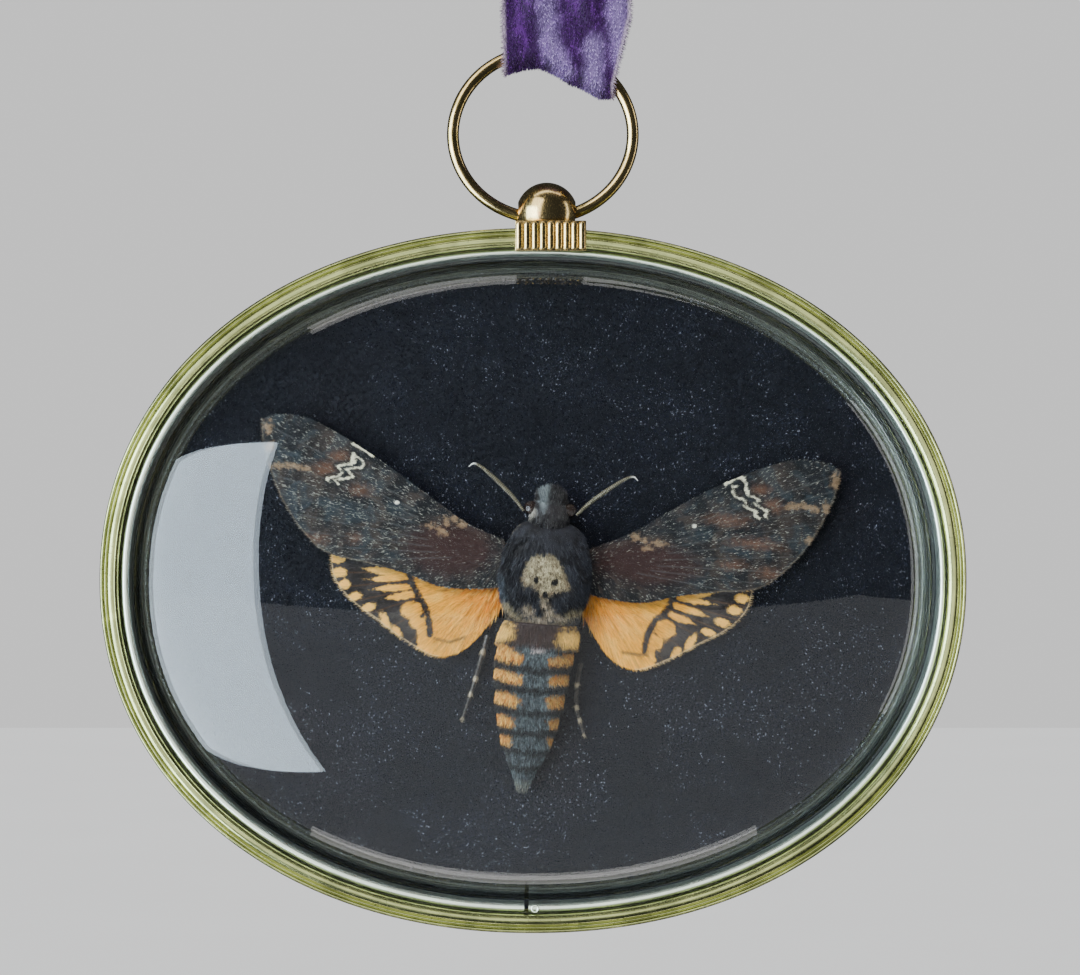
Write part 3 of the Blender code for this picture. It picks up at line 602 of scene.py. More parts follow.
def strand_tree():
    """Plants bent strands on a surface, laid over along its comb attribute."""
    nodes = Nodes("plant_strands", Density="Float", Length="Float", Width="Float", Lean="Float",
                  Disorder="Float", Seed="Int", Blade="Object", Material="Material")
    given = nodes.given
    density = nodes.maths("MULTIPLY", given["Density"], nodes.read("fur"))
    scatter = nodes.add("GeometryNodeDistributePointsOnFaces", {"Mesh": given["Geometry"], "Density": density,
                                                                "Seed": given["Seed"]})
    upright = nodes.scaled(scatter.outputs["Normal"], nodes.maths("SUBTRACT", 1.0, given["Lean"]))
    laid = nodes.scaled(nodes.read("comb", "FLOAT_VECTOR"), given["Lean"])
    stray = nodes.random((-1.0, -1.0, -1.0), (1.0, 1.0, 1.0), given["Seed"], "FLOAT_VECTOR")
    way = nodes.sum(nodes.sum(upright, laid), nodes.scaled(stray, given["Disorder"]))
    aim = nodes.add("FunctionNodeAlignRotationToVector", {"Vector": way}, axis="Z").outputs[0]
    roll = nodes.add("ShaderNodeCombineXYZ", {2: nodes.random(0.0, 2 * math.pi, 7)}).outputs[0]
    turned = nodes.add("FunctionNodeRotateRotation", {0: aim, 1: roll}, rotation_space="LOCAL").outputs[0]
    reach = nodes.maths("MULTIPLY", given["Length"], nodes.read("fur_length"))
    reach = nodes.maths("MULTIPLY", reach, nodes.random(0.65, 1.15, 11))
    size = nodes.add("ShaderNodeCombineXYZ", {0: given["Width"], 1: given["Width"], 2: reach}).outputs[0]
    tinted = nodes.add("GeometryNodeStoreNamedAttribute",
                       {"Geometry": scatter.outputs["Points"], "Name": "tint", "Value": nodes.random(0.0, 1.0, 3)},
                       data_type="FLOAT", domain="POINT").outputs[0]
    blade = nodes.add("GeometryNodeObjectInfo", {"Object": given["Blade"]}).outputs["Geometry"]
    planted = nodes.add("GeometryNodeInstanceOnPoints", {"Points": tinted, "Instance": blade,
                                                         "Rotation": turned, "Scale": size}).outputs[0]
    return nodes.end(planted, given["Material"])


def rib_tree():
    """Sets copies of a rib side by side along a straight line."""
    nodes = Nodes("set_ribs", Count="Int", Start="Vector", Step="Vector", Rib="Object", Material="Material")
    given = nodes.given
    line = nodes.add("GeometryNodeMeshLine", {"Count": given["Count"], "Start Location": given["Start"],
                                              "Offset": given["Step"]}, mode="OFFSET").outputs[0]
    rib = nodes.add("GeometryNodeObjectInfo", {"Object": given["Rib"]}).outputs["Geometry"]
    ribs = nodes.add("GeometryNodeInstanceOnPoints", {"Points": line, "Instance": rib}).outputs[0]
    both = nodes.add("GeometryNodeJoinGeometry")
    nodes.tree.links.new(ribs, both.inputs[0])
    nodes.tree.links.new(given["Geometry"], both.inputs[0])
    return nodes.end(both.outputs[0], given["Material"])


def blade_object(knees=2, bend=0.25, flare=1.0):
    """A flat tapering blade one unit long, with its height kept in the attribute tip."""
    steps = np.linspace(0.0, 1.0, knees + 2)[:-1]
    sides = [(side * (1 - 0.6 * t) * flare, bend * t * t, t) for t in steps for side in (-0.5, 0.5)]
    points = sides + [(0.0, bend, 1.0)]
    last = len(sides)
    faces = [(i, i + 1, i + 3, i + 2) for i in range(0, last - 2, 2)] + [(last - 2, last - 1, last)]
    mesh = bpy.data.meshes.new("blade")
    mesh.from_pydata(points, [], faces)
    mark(mesh, "tip", [p[2] for p in points])
    mesh.shade_smooth()
    obj = bpy.data.objects.new("blade", mesh)
    bpy.context.scene.collection.objects.link(obj)
    return obj


def planted(mesh, finish, density, length, width, lean, disorder, seed, knees=2, bend=0.25):
    """A mesh of strands standing on this one: density for each square millimetre, lengths in mm."""
    tree = bpy.data.node_groups.get("plant_strands") or strand_tree()
    blade = blade_object(knees, bend)
    strands = applied(mesh, tree, Density=density * PER_SQUARE_MM, Length=length * MM, Width=width * MM,
                      Lean=lean, Disorder=disorder, Seed=seed, Blade=blade, Material=finish)
    bpy.data.meshes.remove(blade.data)
    return strands


# Materials

class Finish:
    """A node material in the making, with short calls for what these finishes are mixed from."""

    def __init__(self, name, roughness=0.5, metallic=0.0, **sockets):
        self.material = bpy.data.materials.new(name)
        self.material.use_nodes = True
        self.tree = self.material.node_tree
        self.shader = self.tree.nodes["Principled BSDF"]
        self.shader.inputs["Roughness"].default_value = roughness
        self.shader.inputs["Metallic"].default_value = metallic
        for label, value in sockets.items():
            self.feed(self.shader.inputs[label.replace("_", " ")], value)
        self.places = self.tree.nodes.new("ShaderNodeTexCoord").outputs["Object"]

    def feed(self, socket, value):
        if isinstance(value, bpy.types.NodeSocket):
            self.tree.links.new(value, socket)
        elif socket.type == "RGBA" and len(value) == 3:
            socket.default_value = (*value, 1.0)
        else:
            socket.default_value = value

    def add(self, kind, inputs=None, **settings):
        node = self.tree.nodes.new(kind)
        for key, value in settings.items():
            setattr(node, key, value)
        for key, value in (inputs or {}).items():
            self.feed(node.inputs[key], value)
        return node

    def maths(self, operation, a, b=0.0, c=0.0, clamped=False):
        node = self.add("ShaderNodeMath", {0: a, 1: b, 2: c}, operation=operation, use_clamp=clamped)
        return node.outputs[0]

    def between(self, value, low, high, start=0.0, end=1.0):
        """A soft step from start at low to end at high."""
        node = self.add("ShaderNodeMapRange", {0: value, 1: low, 2: high, 3: start, 4: end},
                        interpolation_type="SMOOTHSTEP")
        return node.outputs[0]

    def mix(self, share, a, b):
        node = self.add("ShaderNodeMix", {0: share, 6: a, 7: b}, data_type="RGBA")
        return node.outputs[2]

    def mark(self, name):
        return self.add("ShaderNodeAttribute", attribute_name=name).outputs["Fac"]

    def lengths(self):
        """The UV map, which is in millimetres."""
        return self.add("ShaderNodeUVMap", uv_map="length").outputs[0]

    def joined(self, x, y, z=0.0):
        return self.add("ShaderNodeCombineXYZ", {0: x, 1: y, 2: z}).outputs[0]

    def stretched(self, vector, scale, turn=0.0):
        return self.add("ShaderNodeMapping", {"Vector": vector, "Scale": scale, "Rotation": (0.0, turn, 0.0)}).outputs[0]

    def noise(self, size, vector=None, detail=2.0, roughness=0.5, distortion=0.0):
        """Noise with features of about this size, in metres, or in the vector's own unit."""
        node = self.add("ShaderNodeTexNoise", {"Vector": vector or self.places, "Scale": 1.0 / size,
                                               "Detail": detail, "Roughness": roughness, "Distortion": distortion})
        return node.outputs["Fac"]

    def cells(self, size, vector=None, output="Distance", randomness=1.0):
        node = self.add("ShaderNodeTexVoronoi", {"Vector": vector or self.places, "Scale": 1.0 / size,
                                                 "Randomness": randomness})
        return node.outputs[output]

    def bumped(self, height, depth, strength=1.0, before=None):
        """Adds relief of this depth in millimetres."""
        node = self.add("ShaderNodeBump", {"Height": height, "Distance": depth * MM, "Strength": strength})
        if before is not None:
            self.feed(node.inputs["Normal"], before)
        self.feed(self.shader.inputs["Normal"], node.outputs[0])
        return node.outputs[0]

    def coloured(self, colour, roughness=None):
        """Sets the colour, and the roughness where it varies, and gives the material."""
        self.feed(self.shader.inputs["Base Color"], colour)
        if roughness is not None:
            self.feed(self.shader.inputs["Roughness"], roughness)
        return self.material


def shade(colour, factor):
    """A colour made darker or lighter."""
    return tuple(channel * factor for channel in colour[:3])


# Finishes of the frame

def metal(name, light, dark, roughness, grain=0.02, speckle=0.0, tarnish=None, relief=0.3):
    """Worn metal: lengthwise hairlines, cloudy colour, dark specks and, if given, a tarnish colour."""
    f = Finish(name, roughness, 1.0)
    hairlines = f.noise(0.16, f.stretched(f.lengths(), (grain, 1.0, 1.0)), detail=4.0, roughness=0.65)
    clouds = f.noise(0.009, detail=3.0, distortion=0.6)
    specks = f.noise(0.0007, detail=3.0, roughness=0.7)
    worn = f.maths("MULTIPLY", f.between(hairlines, 0.42, 0.62), 0.5)
    worn = f.maths("ADD", worn, f.between(clouds, 0.4, 0.66, 0.0, 0.5))
    colour = f.mix(worn, light, dark)
    colour = f.mix(f.between(specks, 0.62, 0.68, 0.0, speckle), colour, shade(dark, 0.25))
    if tarnish:
        colour = f.mix(f.between(f.noise(0.004, detail=4.0), 0.52, 0.68, 0.0, 0.75), colour, tarnish)
    rough = f.maths("ADD", roughness, f.between(hairlines, 0.4, 0.7, -0.05, 0.12))
    rough = f.maths("ADD", rough, f.between(specks, 0.55, 0.7, 0.0, 0.25 * speckle))
    f.bumped(f.maths("ADD", hairlines, f.maths("MULTIPLY", specks, 0.3)), 0.02, relief)
    return f.coloured(colour, rough)


def glass_finish(settings):
    """Clear glass that lets the lamps shine through, with faint smears."""
    f = Finish("clear_glass", 0.0, 0.0, Transmission_Weight=1.0, IOR=settings.ior,
               Specular_IOR_Level=settings.gloss)
    smears = f.noise(0.02, f.stretched(f.places, (1.0, 1.0, 0.35), 0.6), detail=3.0, distortion=1.0)
    f.coloured(settings.tint, f.between(smears, 0.5, 0.75, 0.02, 0.045))
    clear = f.add("ShaderNodeBsdfTransparent", {"Color": settings.tint})
    shadow = f.add("ShaderNodeLightPath").outputs["Is Shadow Ray"]
    both = f.add("ShaderNodeMixShader", {0: shadow, 1: f.shader.outputs[0], 2: clear.outputs[0]})
    f.tree.links.new(both.outputs[0], f.tree.nodes["Material Output"].inputs["Surface"])
    return f.material


def pad_velvet_finish(colour, painted_glint):
    """Crushed velvet: painted shade at the pile's roots, painted light and shade in blotches where the nap lies, and
    painted glints on single tufts.
    """
    f = Finish("dark_velvet", 0.75, Sheen_Weight=0.04, Sheen_Roughness=0.4, Specular_IOR_Level=0.2)
    tint = f.mark("tint")
    clouds = f.noise(0.019, detail=4.0, distortion=0.8)
    blotches = f.noise(0.0034, detail=4.0, roughness=0.65, distortion=0.9)
    crumbs = f.noise(0.0011, detail=3.0, roughness=0.6)
    nap = f.maths("ADD", f.maths("MULTIPLY", clouds, 0.9), f.maths("MULTIPLY", blotches, 0.9))
    nap = f.maths("ADD", nap, f.maths("MULTIPLY", crumbs, 0.5))
    # Painted light and shade: the nap's blotches are lit and shaded copies of the velvet's colour
    lit = f.between(nap, 1.02, 1.3)
    ground = f.mix(lit, shade(colour, 0.35), shade(colour, 1.9))
    brown = f.between(f.noise(0.027, detail=2.0), 0.52, 0.68, 0.0, 0.75)
    ground = f.mix(f.maths("MULTIPLY", brown, f.between(lit, 0.0, 1.0, 0.4, 1.0)), ground, (0.034, 0.022, 0.026))
    # Painted glints: tufts picked at random take the glint colour where the nap is painted lit
    painted_glint_mask = f.between(f.maths("ADD", tint, f.maths("MULTIPLY", lit, 0.1)), 0.93, 1.06)
    ground = f.mix(f.maths("MULTIPLY", painted_glint_mask, f.between(lit, 0.0, 0.6, 0.35, 1.0)), ground, painted_glint)
    # Painted shade: the pile darkens towards its roots, and the cloth under it takes the root colour
    return f.coloured(f.mix(f.between(f.mark("tip"), 0.0, 0.8), shade(colour, 0.25), ground))


def ribbon_velvet_finish(settings):
    """Silk velvet: crushed pile in painted light and shade, painted lilac highlights along its folds and in fine
    specks, whitish at the selvedge.
    """
    f = Finish("purple_velvet", 0.6, Sheen_Weight=0.25, Sheen_Roughness=0.35, Sheen_Tint=(0.85, 0.6, 1.0, 1.0),
               Specular_IOR_Level=0.25)
    where = f.lengths()
    tint = f.mark("tint")
    crushed = f.noise(2.4, f.stretched(where, (0.4, 1.0, 1.0)), detail=4.0, distortion=1.2)
    fine = f.noise(0.35, where, detail=3.0)
    # Painted light and shade: crushed patches of the pile get lit and shaded copies of the colour
    lit = f.between(f.maths("ADD", crushed, f.maths("MULTIPLY", tint, 0.25)), 0.5, 0.78)
    colour = f.mix(lit, shade(settings.colour, 0.3), settings.colour)
    # Painted highlights: lilac along the folds' paths, broken up by the crushed pile
    painted_highlight = f.maths("SUBTRACT", f.mark("painted_highlight"), f.maths("MULTIPLY", crushed, 3.2))
    painted_highlight = f.between(painted_highlight, 0.4, -2.2, 0.0, 0.85)
    painted_highlight = f.maths("MULTIPLY", painted_highlight, f.between(f.maths("ADD", tint, fine), 0.5, 1.1, 0.35, 1.0))
    colour = f.mix(painted_highlight, colour, settings.highlight)
    # Painted highlight: fine lilac specks all over
    colour = f.mix(f.between(fine, 0.6, 0.8, 0.0, 0.25), colour, settings.highlight)
    colour = f.mix(f.between(f.mark("selvedge"), 0.8, 0.1, 0.0, 0.8), colour, (0.5, 0.42, 0.52))
    f.bumped(fine, 0.08, 0.5)
    return f.coloured(colour)


def board_finish(colour):
    """Dark backing board: pressed fibres with a faint embossed grain."""
    f = Finish("backing_board", 0.75, Specular_IOR_Level=0.3)
    fibres = f.noise(0.0006, f.stretched(f.places, (0.25, 1.0, 1.0), 0.3), detail=5.0, roughness=0.7)
    grain = f.cells(0.0011)
    clouds = f.noise(0.03, detail=3.0)
    colour = f.mix(f.between(fibres, 0.35, 0.7), shade(colour, 0.55), shade(colour, 1.3))
    colour = f.mix(f.between(clouds, 0.4, 0.7, 0.0, 0.4), colour, (0.09, 0.07, 0.05))
    f.bumped(f.maths("ADD", grain, fibres), 0.12, 0.6)
    return f.coloured(colour, f.between(fibres, 0.3, 0.7, 0.62, 0.85))


def card_finish():
    """Plain grey card under the velvet."""
    f = Finish("grey_card", 0.9)
    fibres = f.noise(0.0005, detail=5.0)
    f.bumped(fibres, 0.05, 0.5)
    return f.coloured(f.mix(fibres, (0.11, 0.1, 0.09), (0.2, 0.185, 0.16)))


# Finishes of the moth

def forewing_finish(settings, pale):
    """Dusky scales in streaks along the veins, with rust, maroon, teal and cream markings."""
    f = Finish("forewing_scales", 0.62, Sheen_Weight=0.03, Sheen_Roughness=0.3, Specular_IOR_Level=0.25)
    fan = f.joined(f.mark("reach"), f.mark("ray"))
    tint = f.mark("tint")
    streaks = f.noise(0.42, f.stretched(fan, (0.22, 1.25, 1.0)), detail=4.0, roughness=0.72)
    dapple = f.noise(4.2, fan, detail=4.0, distortion=1.0)
    patches = f.noise(1.5, fan, detail=3.0, distortion=0.8)
    crumbs = f.noise(0.0009, detail=4.0, roughness=0.7)
    ragged = f.between(crumbs, 0.2, 0.8, -0.55, 0.55)
    waves = f.maths("ADD", f.maths("MULTIPLY", f.mark("reach"), 1.05), f.maths("MULTIPLY", dapple, 6.0))
    bands = f.maths("SINE", waves)
    ground = f.mix(f.between(dapple, 0.4, 0.64), settings.wing_dark, settings.wing_brown)
    ground = f.mix(f.between(bands, 0.0, 0.9, 0.0, 0.6), ground, shade(settings.wing_dark, 0.5))
    teal = f.maths("MULTIPLY", f.between(f.noise(3.1, fan, detail=2.0, distortion=0.6), 0.48, 0.64),
                   f.between(f.mark("reach"), 12.0, 26.0))
    ground = f.mix(f.maths("MULTIPLY", teal, 0.55), ground, (0.026, 0.04, 0.05))

    def laid(name, edge, colour, strength=1.0, under=None, rough=1.0):
        place = f.maths("ADD", f.mark(name), f.maths("MULTIPLY", ragged, rough))
        return f.mix(f.between(place, edge, -edge, 0.0, strength), under, colour)

    ground = laid("maroon", 1.4, (0.034, 0.013, 0.01), 0.9, ground)
    ground = laid("rust", 1.0, (0.125, 0.058, 0.03), 0.75, ground)
    amount = f.between(f.maths("ADD", streaks, f.maths("MULTIPLY", patches, 0.45)), 0.56, 0.98, -0.12, 0.72)
    amount = f.maths("MULTIPLY", amount, f.between(f.mark("maroon"), -1.5, 1.5, 0.35, 1.0))
    # Pale scales; the pale argument gives the left wing more of them, a painted reflection
    frost = f.between(f.maths("ADD", tint, f.maths("MULTIPLY", amount, pale)), 0.94, 1.1)
    ground = f.mix(f.maths("MULTIPLY", frost, 0.85), ground, (0.32, 0.32, 0.27))
    ground = f.mix(f.between(f.mark("vein"), 0.22, 0.06, 0.0, 0.22), ground, (0.11, 0.12, 0.115))
    ground = laid("tan", 0.4, (0.3, 0.2, 0.11), 0.7, ground)
    ground = laid("dark", 0.25, (0.008, 0.008, 0.009), 0.85, ground, 0.4)
    broken = f.between(f.maths("ADD", tint, crumbs), 0.55, 0.8, 0.35, 1.0)
    ground = f.mix(f.maths("MULTIPLY", broken, f.between(f.maths("ADD", f.mark("cream"), f.maths(
        "MULTIPLY", ragged, 0.35)), 0.16, -0.1)), ground, (0.72, 0.7, 0.52))
    ground = f.mix(f.between(f.mark("dot"), 0.1, -0.1), ground, (0.8, 0.78, 0.66))
    ground = f.mix(f.between(f.mark("edge"), 0.35, 0.1, 0.0, 0.3), ground, (0.2, 0.15, 0.09))
    f.bumped(streaks, 0.1, 0.5)
    return f.coloured(ground)


def hindwing_finish(settings):
    """Yellow scales with two dark bands, yellow tongues between the veins and spots at the edge."""
    f = Finish("hindwing_scales", 0.62, Specular_IOR_Level=0.25)
    fan = f.joined(f.mark("reach"), f.mark("ray"))
    streaks = f.noise(0.42, f.stretched(fan, (0.18, 1.4, 1.0)), detail=4.0, roughness=0.65)
    clouds = f.noise(3.4, fan, detail=2.0)
    base = f.between(f.mark("reach"), 14.0, 2.0)
    yellow = f.mix(f.between(streaks, 0.36, 0.66), shade(settings.yellow, 0.55), settings.yellow)
    yellow = f.mix(f.between(clouds, 0.4, 0.7, 0.0, 0.4), yellow, settings.pale_yellow)
    yellow = f.mix(f.maths("MULTIPLY", base, 0.7), yellow, settings.orange)
    creases = f.maths("MULTIPLY", f.between(streaks, 0.42, 0.32), f.between(f.mark("reach"), 20.0, 12.0, 0.0, 0.8))
    yellow = f.mix(creases, yellow, (0.26, 0.075, 0.008))
    outer = f.between(f.mark("reach"), 17.0, 23.0, 0.0, 0.7)
    yellow = f.mix(outer, yellow, settings.pale_yellow)
    ragged = f.between(f.noise(0.0007, detail=4.0, roughness=0.75), 0.2, 0.8, -0.26, 0.26)
    slate = f.mix(f.between(clouds, 0.35, 0.65), (0.016, 0.012, 0.011), (0.04, 0.034, 0.032))
    slate = f.mix(f.between(f.mark("tint"), 0.8, 1.0, 0.0, 0.5), slate, (0.13, 0.11, 0.09))
    colour = f.mix(f.between(f.maths("ADD", f.mark("band"), ragged), 0.16, -0.16), yellow, slate)
    colour = f.mix(f.between(f.mark("thin"), 0.35, -0.1, 0.0, 0.8), colour, (0.06, 0.035, 0.02))
    colour = f.mix(f.between(f.mark("vein"), 0.22, 0.06, 0.0, 0.25), colour, (0.16, 0.07, 0.015))
    colour = f.mix(f.between(f.mark("edge"), 0.3, 0.08, 0.0, 0.7), colour, (0.7, 0.52, 0.27))
    f.bumped(streaks, 0.12, 0.55)
    return f.coloured(colour)


def thorax_finish(settings):
    """Dark bluish fur with the pale skull-like patch, its chin and the pale band behind."""
    f = Finish("thorax_fur", 0.6, Sheen_Weight=0.05, Sheen_Roughness=0.3, Specular_IOR_Level=0.3)
    tint = f.mark("tint")
    wisps = f.noise(0.00075, detail=4.0, roughness=0.7)
    ragged = f.between(wisps, 0.2, 0.8, -0.5, 0.5)
    clouds = f.noise(0.0022, detail=3.0)
    dark = f.mix(f.between(clouds, 0.35, 0.65), (0.008, 0.007, 0.009), (0.026, 0.028, 0.038))
    dark = f.mix(f.between(tint, 0.8, 1.0, 0.0, 0.6), dark, (0.1, 0.105, 0.125))
    # Painted shade: darkened to near black along the groove
    dark = f.mix(f.between(f.mark("groove"), 0.7, 0.0, 0.0, 0.9), dark, (0.006, 0.005, 0.006))

    def laid(under, name, edge, colour, strength=1.0):
        return f.mix(f.between(f.maths("ADD", f.mark(name), ragged), edge, -edge, 0.0, strength), under, colour)

    dark = laid(dark, "blue", 0.7, (0.075, 0.095, 0.12), 0.7)
    dark = laid(dark, "rim", 0.5, (0.36, 0.33, 0.24), 0.75)
    dark = laid(dark, "crescent", 0.7, (0.42, 0.34, 0.19), 0.85)
    dark = laid(dark, "chin", 0.5, (0.5, 0.4, 0.27), 0.85)
    bone = f.mix(f.between(f.maths("ADD", wisps, f.maths("MULTIPLY", tint, 0.3)), 0.42, 0.82), (0.16, 0.12, 0.065),
                 settings.skull)
    bone = f.mix(f.between(f.mark("cheek"), 1.3, -0.6, 0.0, 0.7), bone, (0.16, 0.095, 0.05))
    bone = f.mix(f.between(clouds, 0.54, 0.74, 0.0, 0.55), bone, (0.1, 0.075, 0.045))
    colour = laid(dark, "skull", 0.35, bone)
    colour = f.mix(f.between(f.mark("eyes"), 0.2, -0.05), colour, (0.004, 0.003, 0.003))
    colour = laid(colour, "tuft", 1.0, settings.pale_yellow, 0.95)
    # Painted shade: the fur darkens towards the hair roots and the skin under them
    colour = f.mix(f.between(f.mark("tip"), 0.9, 0.1, 0.0, 0.55), colour, (0.01, 0.008, 0.007))
    return f.coloured(colour)


def abdomen_finish(settings):
    """Yellow side patches, dulled towards brown on the right side by painted shade, black belts, a slate-blue middle
    and a brown first segment.
    """
    f = Finish("abdomen_fur", 0.6, Sheen_Weight=0.05, Sheen_Roughness=0.3, Specular_IOR_Level=0.3)
    tint = f.mark("tint")
    wisps = f.noise(0.0009, detail=4.0, roughness=0.7)
    ragged = f.between(wisps, 0.2, 0.8, -0.5, 0.5)
    blue = f.mix(f.between(f.maths("ADD", wisps, f.maths("MULTIPLY", tint, 0.35)), 0.5, 0.95),
                 (0.022, 0.03, 0.036), (0.15, 0.2, 0.215))
    brown = f.mix(f.between(tint, 0.4, 1.0, 0.0, 0.5), (0.03, 0.014, 0.012), (0.1, 0.055, 0.035))
    tail = f.mix(f.between(tint, 0.3, 1.0), (0.045, 0.052, 0.048), (0.2, 0.19, 0.14))
    yellow = f.mix(f.between(f.maths("ADD", wisps, f.maths("MULTIPLY", tint, 0.3)), 0.4, 0.85),
                   shade(settings.orange, 0.7), settings.pale_yellow)
    flank = f.between(f.maths("ABSOLUTE", f.mark("across")), 2.2, 5.0)
    colour = f.mix(flank, blue, (0.03, 0.03, 0.028))
    colour = f.mix(f.between(f.maths("ADD", f.mark("along"), ragged), -35.6, -37.2), colour, tail)
    colour = f.mix(f.between(f.maths("ADD", f.mark("along"), ragged), -12.9, -12.2), colour, brown)
    colour = f.mix(f.between(f.maths("ADD", f.mark("yellow"), ragged), 0.35, -0.35), colour, yellow)
    # Painted shade: the yellow patches on the right side are dulled towards brown
    dim = f.between(f.mark("across"), 0.0, 3.0, 0.0, 0.45)
    colour = f.mix(f.maths("MULTIPLY", dim, f.between(f.mark("yellow"), 0.4, -0.4)), colour, (0.14, 0.075, 0.03))
    black = f.between(f.maths("ADD", f.mark("black"), ragged), 0.35, -0.35, 0.0, 0.95)
    colour = f.mix(black, colour, (0.005, 0.006, 0.008))
    colour = f.mix(f.between(f.maths("ADD", f.mark("white"), ragged), 0.3, -0.3), colour, (0.6, 0.52, 0.5))
    colour = f.mix(f.between(f.maths("ADD", f.mark("tuft"), ragged), 0.6, -0.6), colour, settings.pale_yellow)
    # Painted shade: the fur darkens towards the hair roots and the skin under them
    colour = f.mix(f.between(f.mark("tip"), 0.9, 0.1, 0.0, 0.5), colour, (0.01, 0.008, 0.007))
    return f.coloured(colour)


def head_finish():
    """Grey-brown fur with a pale bluish crest."""
    f = Finish("head_fur", 0.6, Sheen_Weight=0.05, Sheen_Roughness=0.3, Specular_IOR_Level=0.3)
    tint = f.mark("tint")
    dark = f.mix(f.between(f.noise(0.0016, detail=3.0), 0.35, 0.65), (0.012, 0.01, 0.011), (0.04, 0.036, 0.036))
    colour = f.mix(f.between(tint, 0.76, 1.0, 0.0, 0.7), dark, (0.13, 0.13, 0.125))
    colour = f.mix(f.between(f.mark("crest"), 0.5, -0.4, 0.0, 0.85), colour, (0.24, 0.28, 0.29))
    colour = f.mix(f.between(f.mark("collar"), 0.4, -0.4, 0.0, 0.9), colour, (0.55, 0.53, 0.46))
    # Painted shade: the fur darkens towards the hair roots and the skin under them
    return f.coloured(f.mix(f.between(f.mark("tip"), 0.9, 0.1, 0.0, 0.5), colour, (0.01, 0.009, 0.01)))


def hair_finish(settings):
    """Long orange hairs at the roots of the hindwings."""
    f = Finish("root_hair", 0.5, Specular_IOR_Level=0.3)
    tint = f.mark("tint")
    colour = f.mix(f.between(tint, 0.1, 0.9), settings.orange, settings.pale_yellow)
    colour = f.mix(f.between(f.noise(0.0009, detail=2.0), 0.45, 0.7, 0.0, 0.6), colour, shade(settings.orange, 0.4))
    # Painted shade: the hairs darken towards their roots
    return f.coloured(f.mix(f.between(f.mark("tip"), 0.7, 0.0, 0.0, 0.5), colour, (0.2, 0.05, 0.012)))


def horn_finish():
    """Antenna: olive-brown shaft with fine rings and a whitish hooked tip."""
    f = Finish("antenna_horn", 0.45, Specular_IOR_Level=0.5)
    rings = f.maths("SINE", f.maths("MULTIPLY", f.mark("run"), 18.5))
    colour = f.mix(f.between(rings, -0.2, 0.9), (0.05, 0.042, 0.022), (0.17, 0.15, 0.09))
    colour = f.mix(f.between(f.noise(0.0006, detail=3.0), 0.5, 0.7, 0.0, 0.5), colour, (0.3, 0.29, 0.2))
    colour = f.mix(f.between(f.mark("tip"), 0.86, 0.95), colour, (0.75, 0.75, 0.7))
    f.bumped(rings, 0.04, 0.6)
    return f.coloured(colour)


def leg_finish():
    """Dark leg with pale scales at its joints."""
    f = Finish("leg_scales", 0.5, Specular_IOR_Level=0.45)
    scales = f.noise(0.0004, detail=3.0)
    colour = f.mix(f.between(scales, 0.4, 0.7), (0.012, 0.01, 0.009), (0.06, 0.048, 0.035))
    colour = f.mix(f.between(f.maths("ADD", f.mark("joint"), f.between(scales, 0.2, 0.8, -0.3, 0.3)), 0.3, -0.2),
                   colour, (0.3, 0.25, 0.16))
    f.bumped(scales, 0.08, 0.6)
    return f.coloured(colour)


def eye_finish():
    """Glossy dark compound eye with a fine hexagonal relief."""
    f = Finish("dark_eye", 0.18, Coat_Weight=0.5, Coat_Roughness=0.05)
    facets = f.cells(0.00012)
    f.bumped(facets, 0.02, 0.4)
    return f.coloured(f.mix(f.between(facets, 0.2, 0.6), (0.035, 0.02, 0.014), (0.012, 0.008, 0.007)))


# Settings that a user would change

def colour_setting(name, description, default):
    return FloatVectorProperty(name=name, description=description, default=default, subtype="COLOR", min=0.0, max=1.0)


class BrassSettings(bpy.types.PropertyGroup):
    """Brass of the frame and its hanger."""

    # The rim's yellow-green and the slip ring's mint white are partly painted reflection: the tints of the bright,
    # greenish surroundings the brass mirrors are put into its colour
    rim_tint_and_reflection: colour_setting("Rim", "Light colour of the rim's brass", (0.6, 0.62, 0.27))
    ball_colour: colour_setting("Ball", "Light colour of the ball, clip and ring", (0.86, 0.64, 0.28))
    slip_tint_and_reflection: colour_setting("Slip ring", "Colour of the bright ring that holds the glass", (0.84, 0.92, 0.8))
    roughness: FloatProperty(name="Roughness", description="How dull the brass is", default=0.24, min=0.0, max=1.0)


class GlassSettings(bpy.types.PropertyGroup):
    """Domed glass."""

    tint: colour_setting("Tint", "Colour of the glass", (0.985, 0.99, 0.985))
    ior: FloatProperty(name="Refraction", description="Refractive index", default=1.45, min=1.0, max=2.0)
    gloss: FloatProperty(name="Gloss", description="Strength of its reflections", default=0.5, min=0.0, max=1.0)


class PadSettings(bpy.types.PropertyGroup):
    """Dark velvet behind the moth."""

    colour: colour_setting("Velvet", "Colour of the dark velvet", (0.011, 0.013, 0.026))
    # Colour of the painted glints on single tufts of pile
    painted_glint: colour_setting("Flecks", "Colour of the pile that catches the light", (0.42, 0.45, 0.55))
    density: FloatProperty(name="Density", description="Tufts on a square millimetre", default=12.0, min=1.0)
    pile: FloatProperty(name="Pile", description="Length of the pile in millimetres", default=0.5, min=0.1, max=0.8)


class RibbonSettings(bpy.types.PropertyGroup):
    """Purple velvet ribbon."""

    colour: colour_setting("Velvet", "Colour of the ribbon", (0.13, 0.03, 0.25))
    # The highlight colour is painted on: along the folds and in fine specks
    highlight: colour_setting("Highlight", "Colour of the pile along its folds", (0.5, 0.38, 0.78))
    density: FloatProperty(name="Density", description="Tufts on a square millimetre", default=15.0, min=1.0)
    pile: FloatProperty(name="Pile", description="Length of the pile in millimetres", default=0.55, min=0.1, max=1.0)


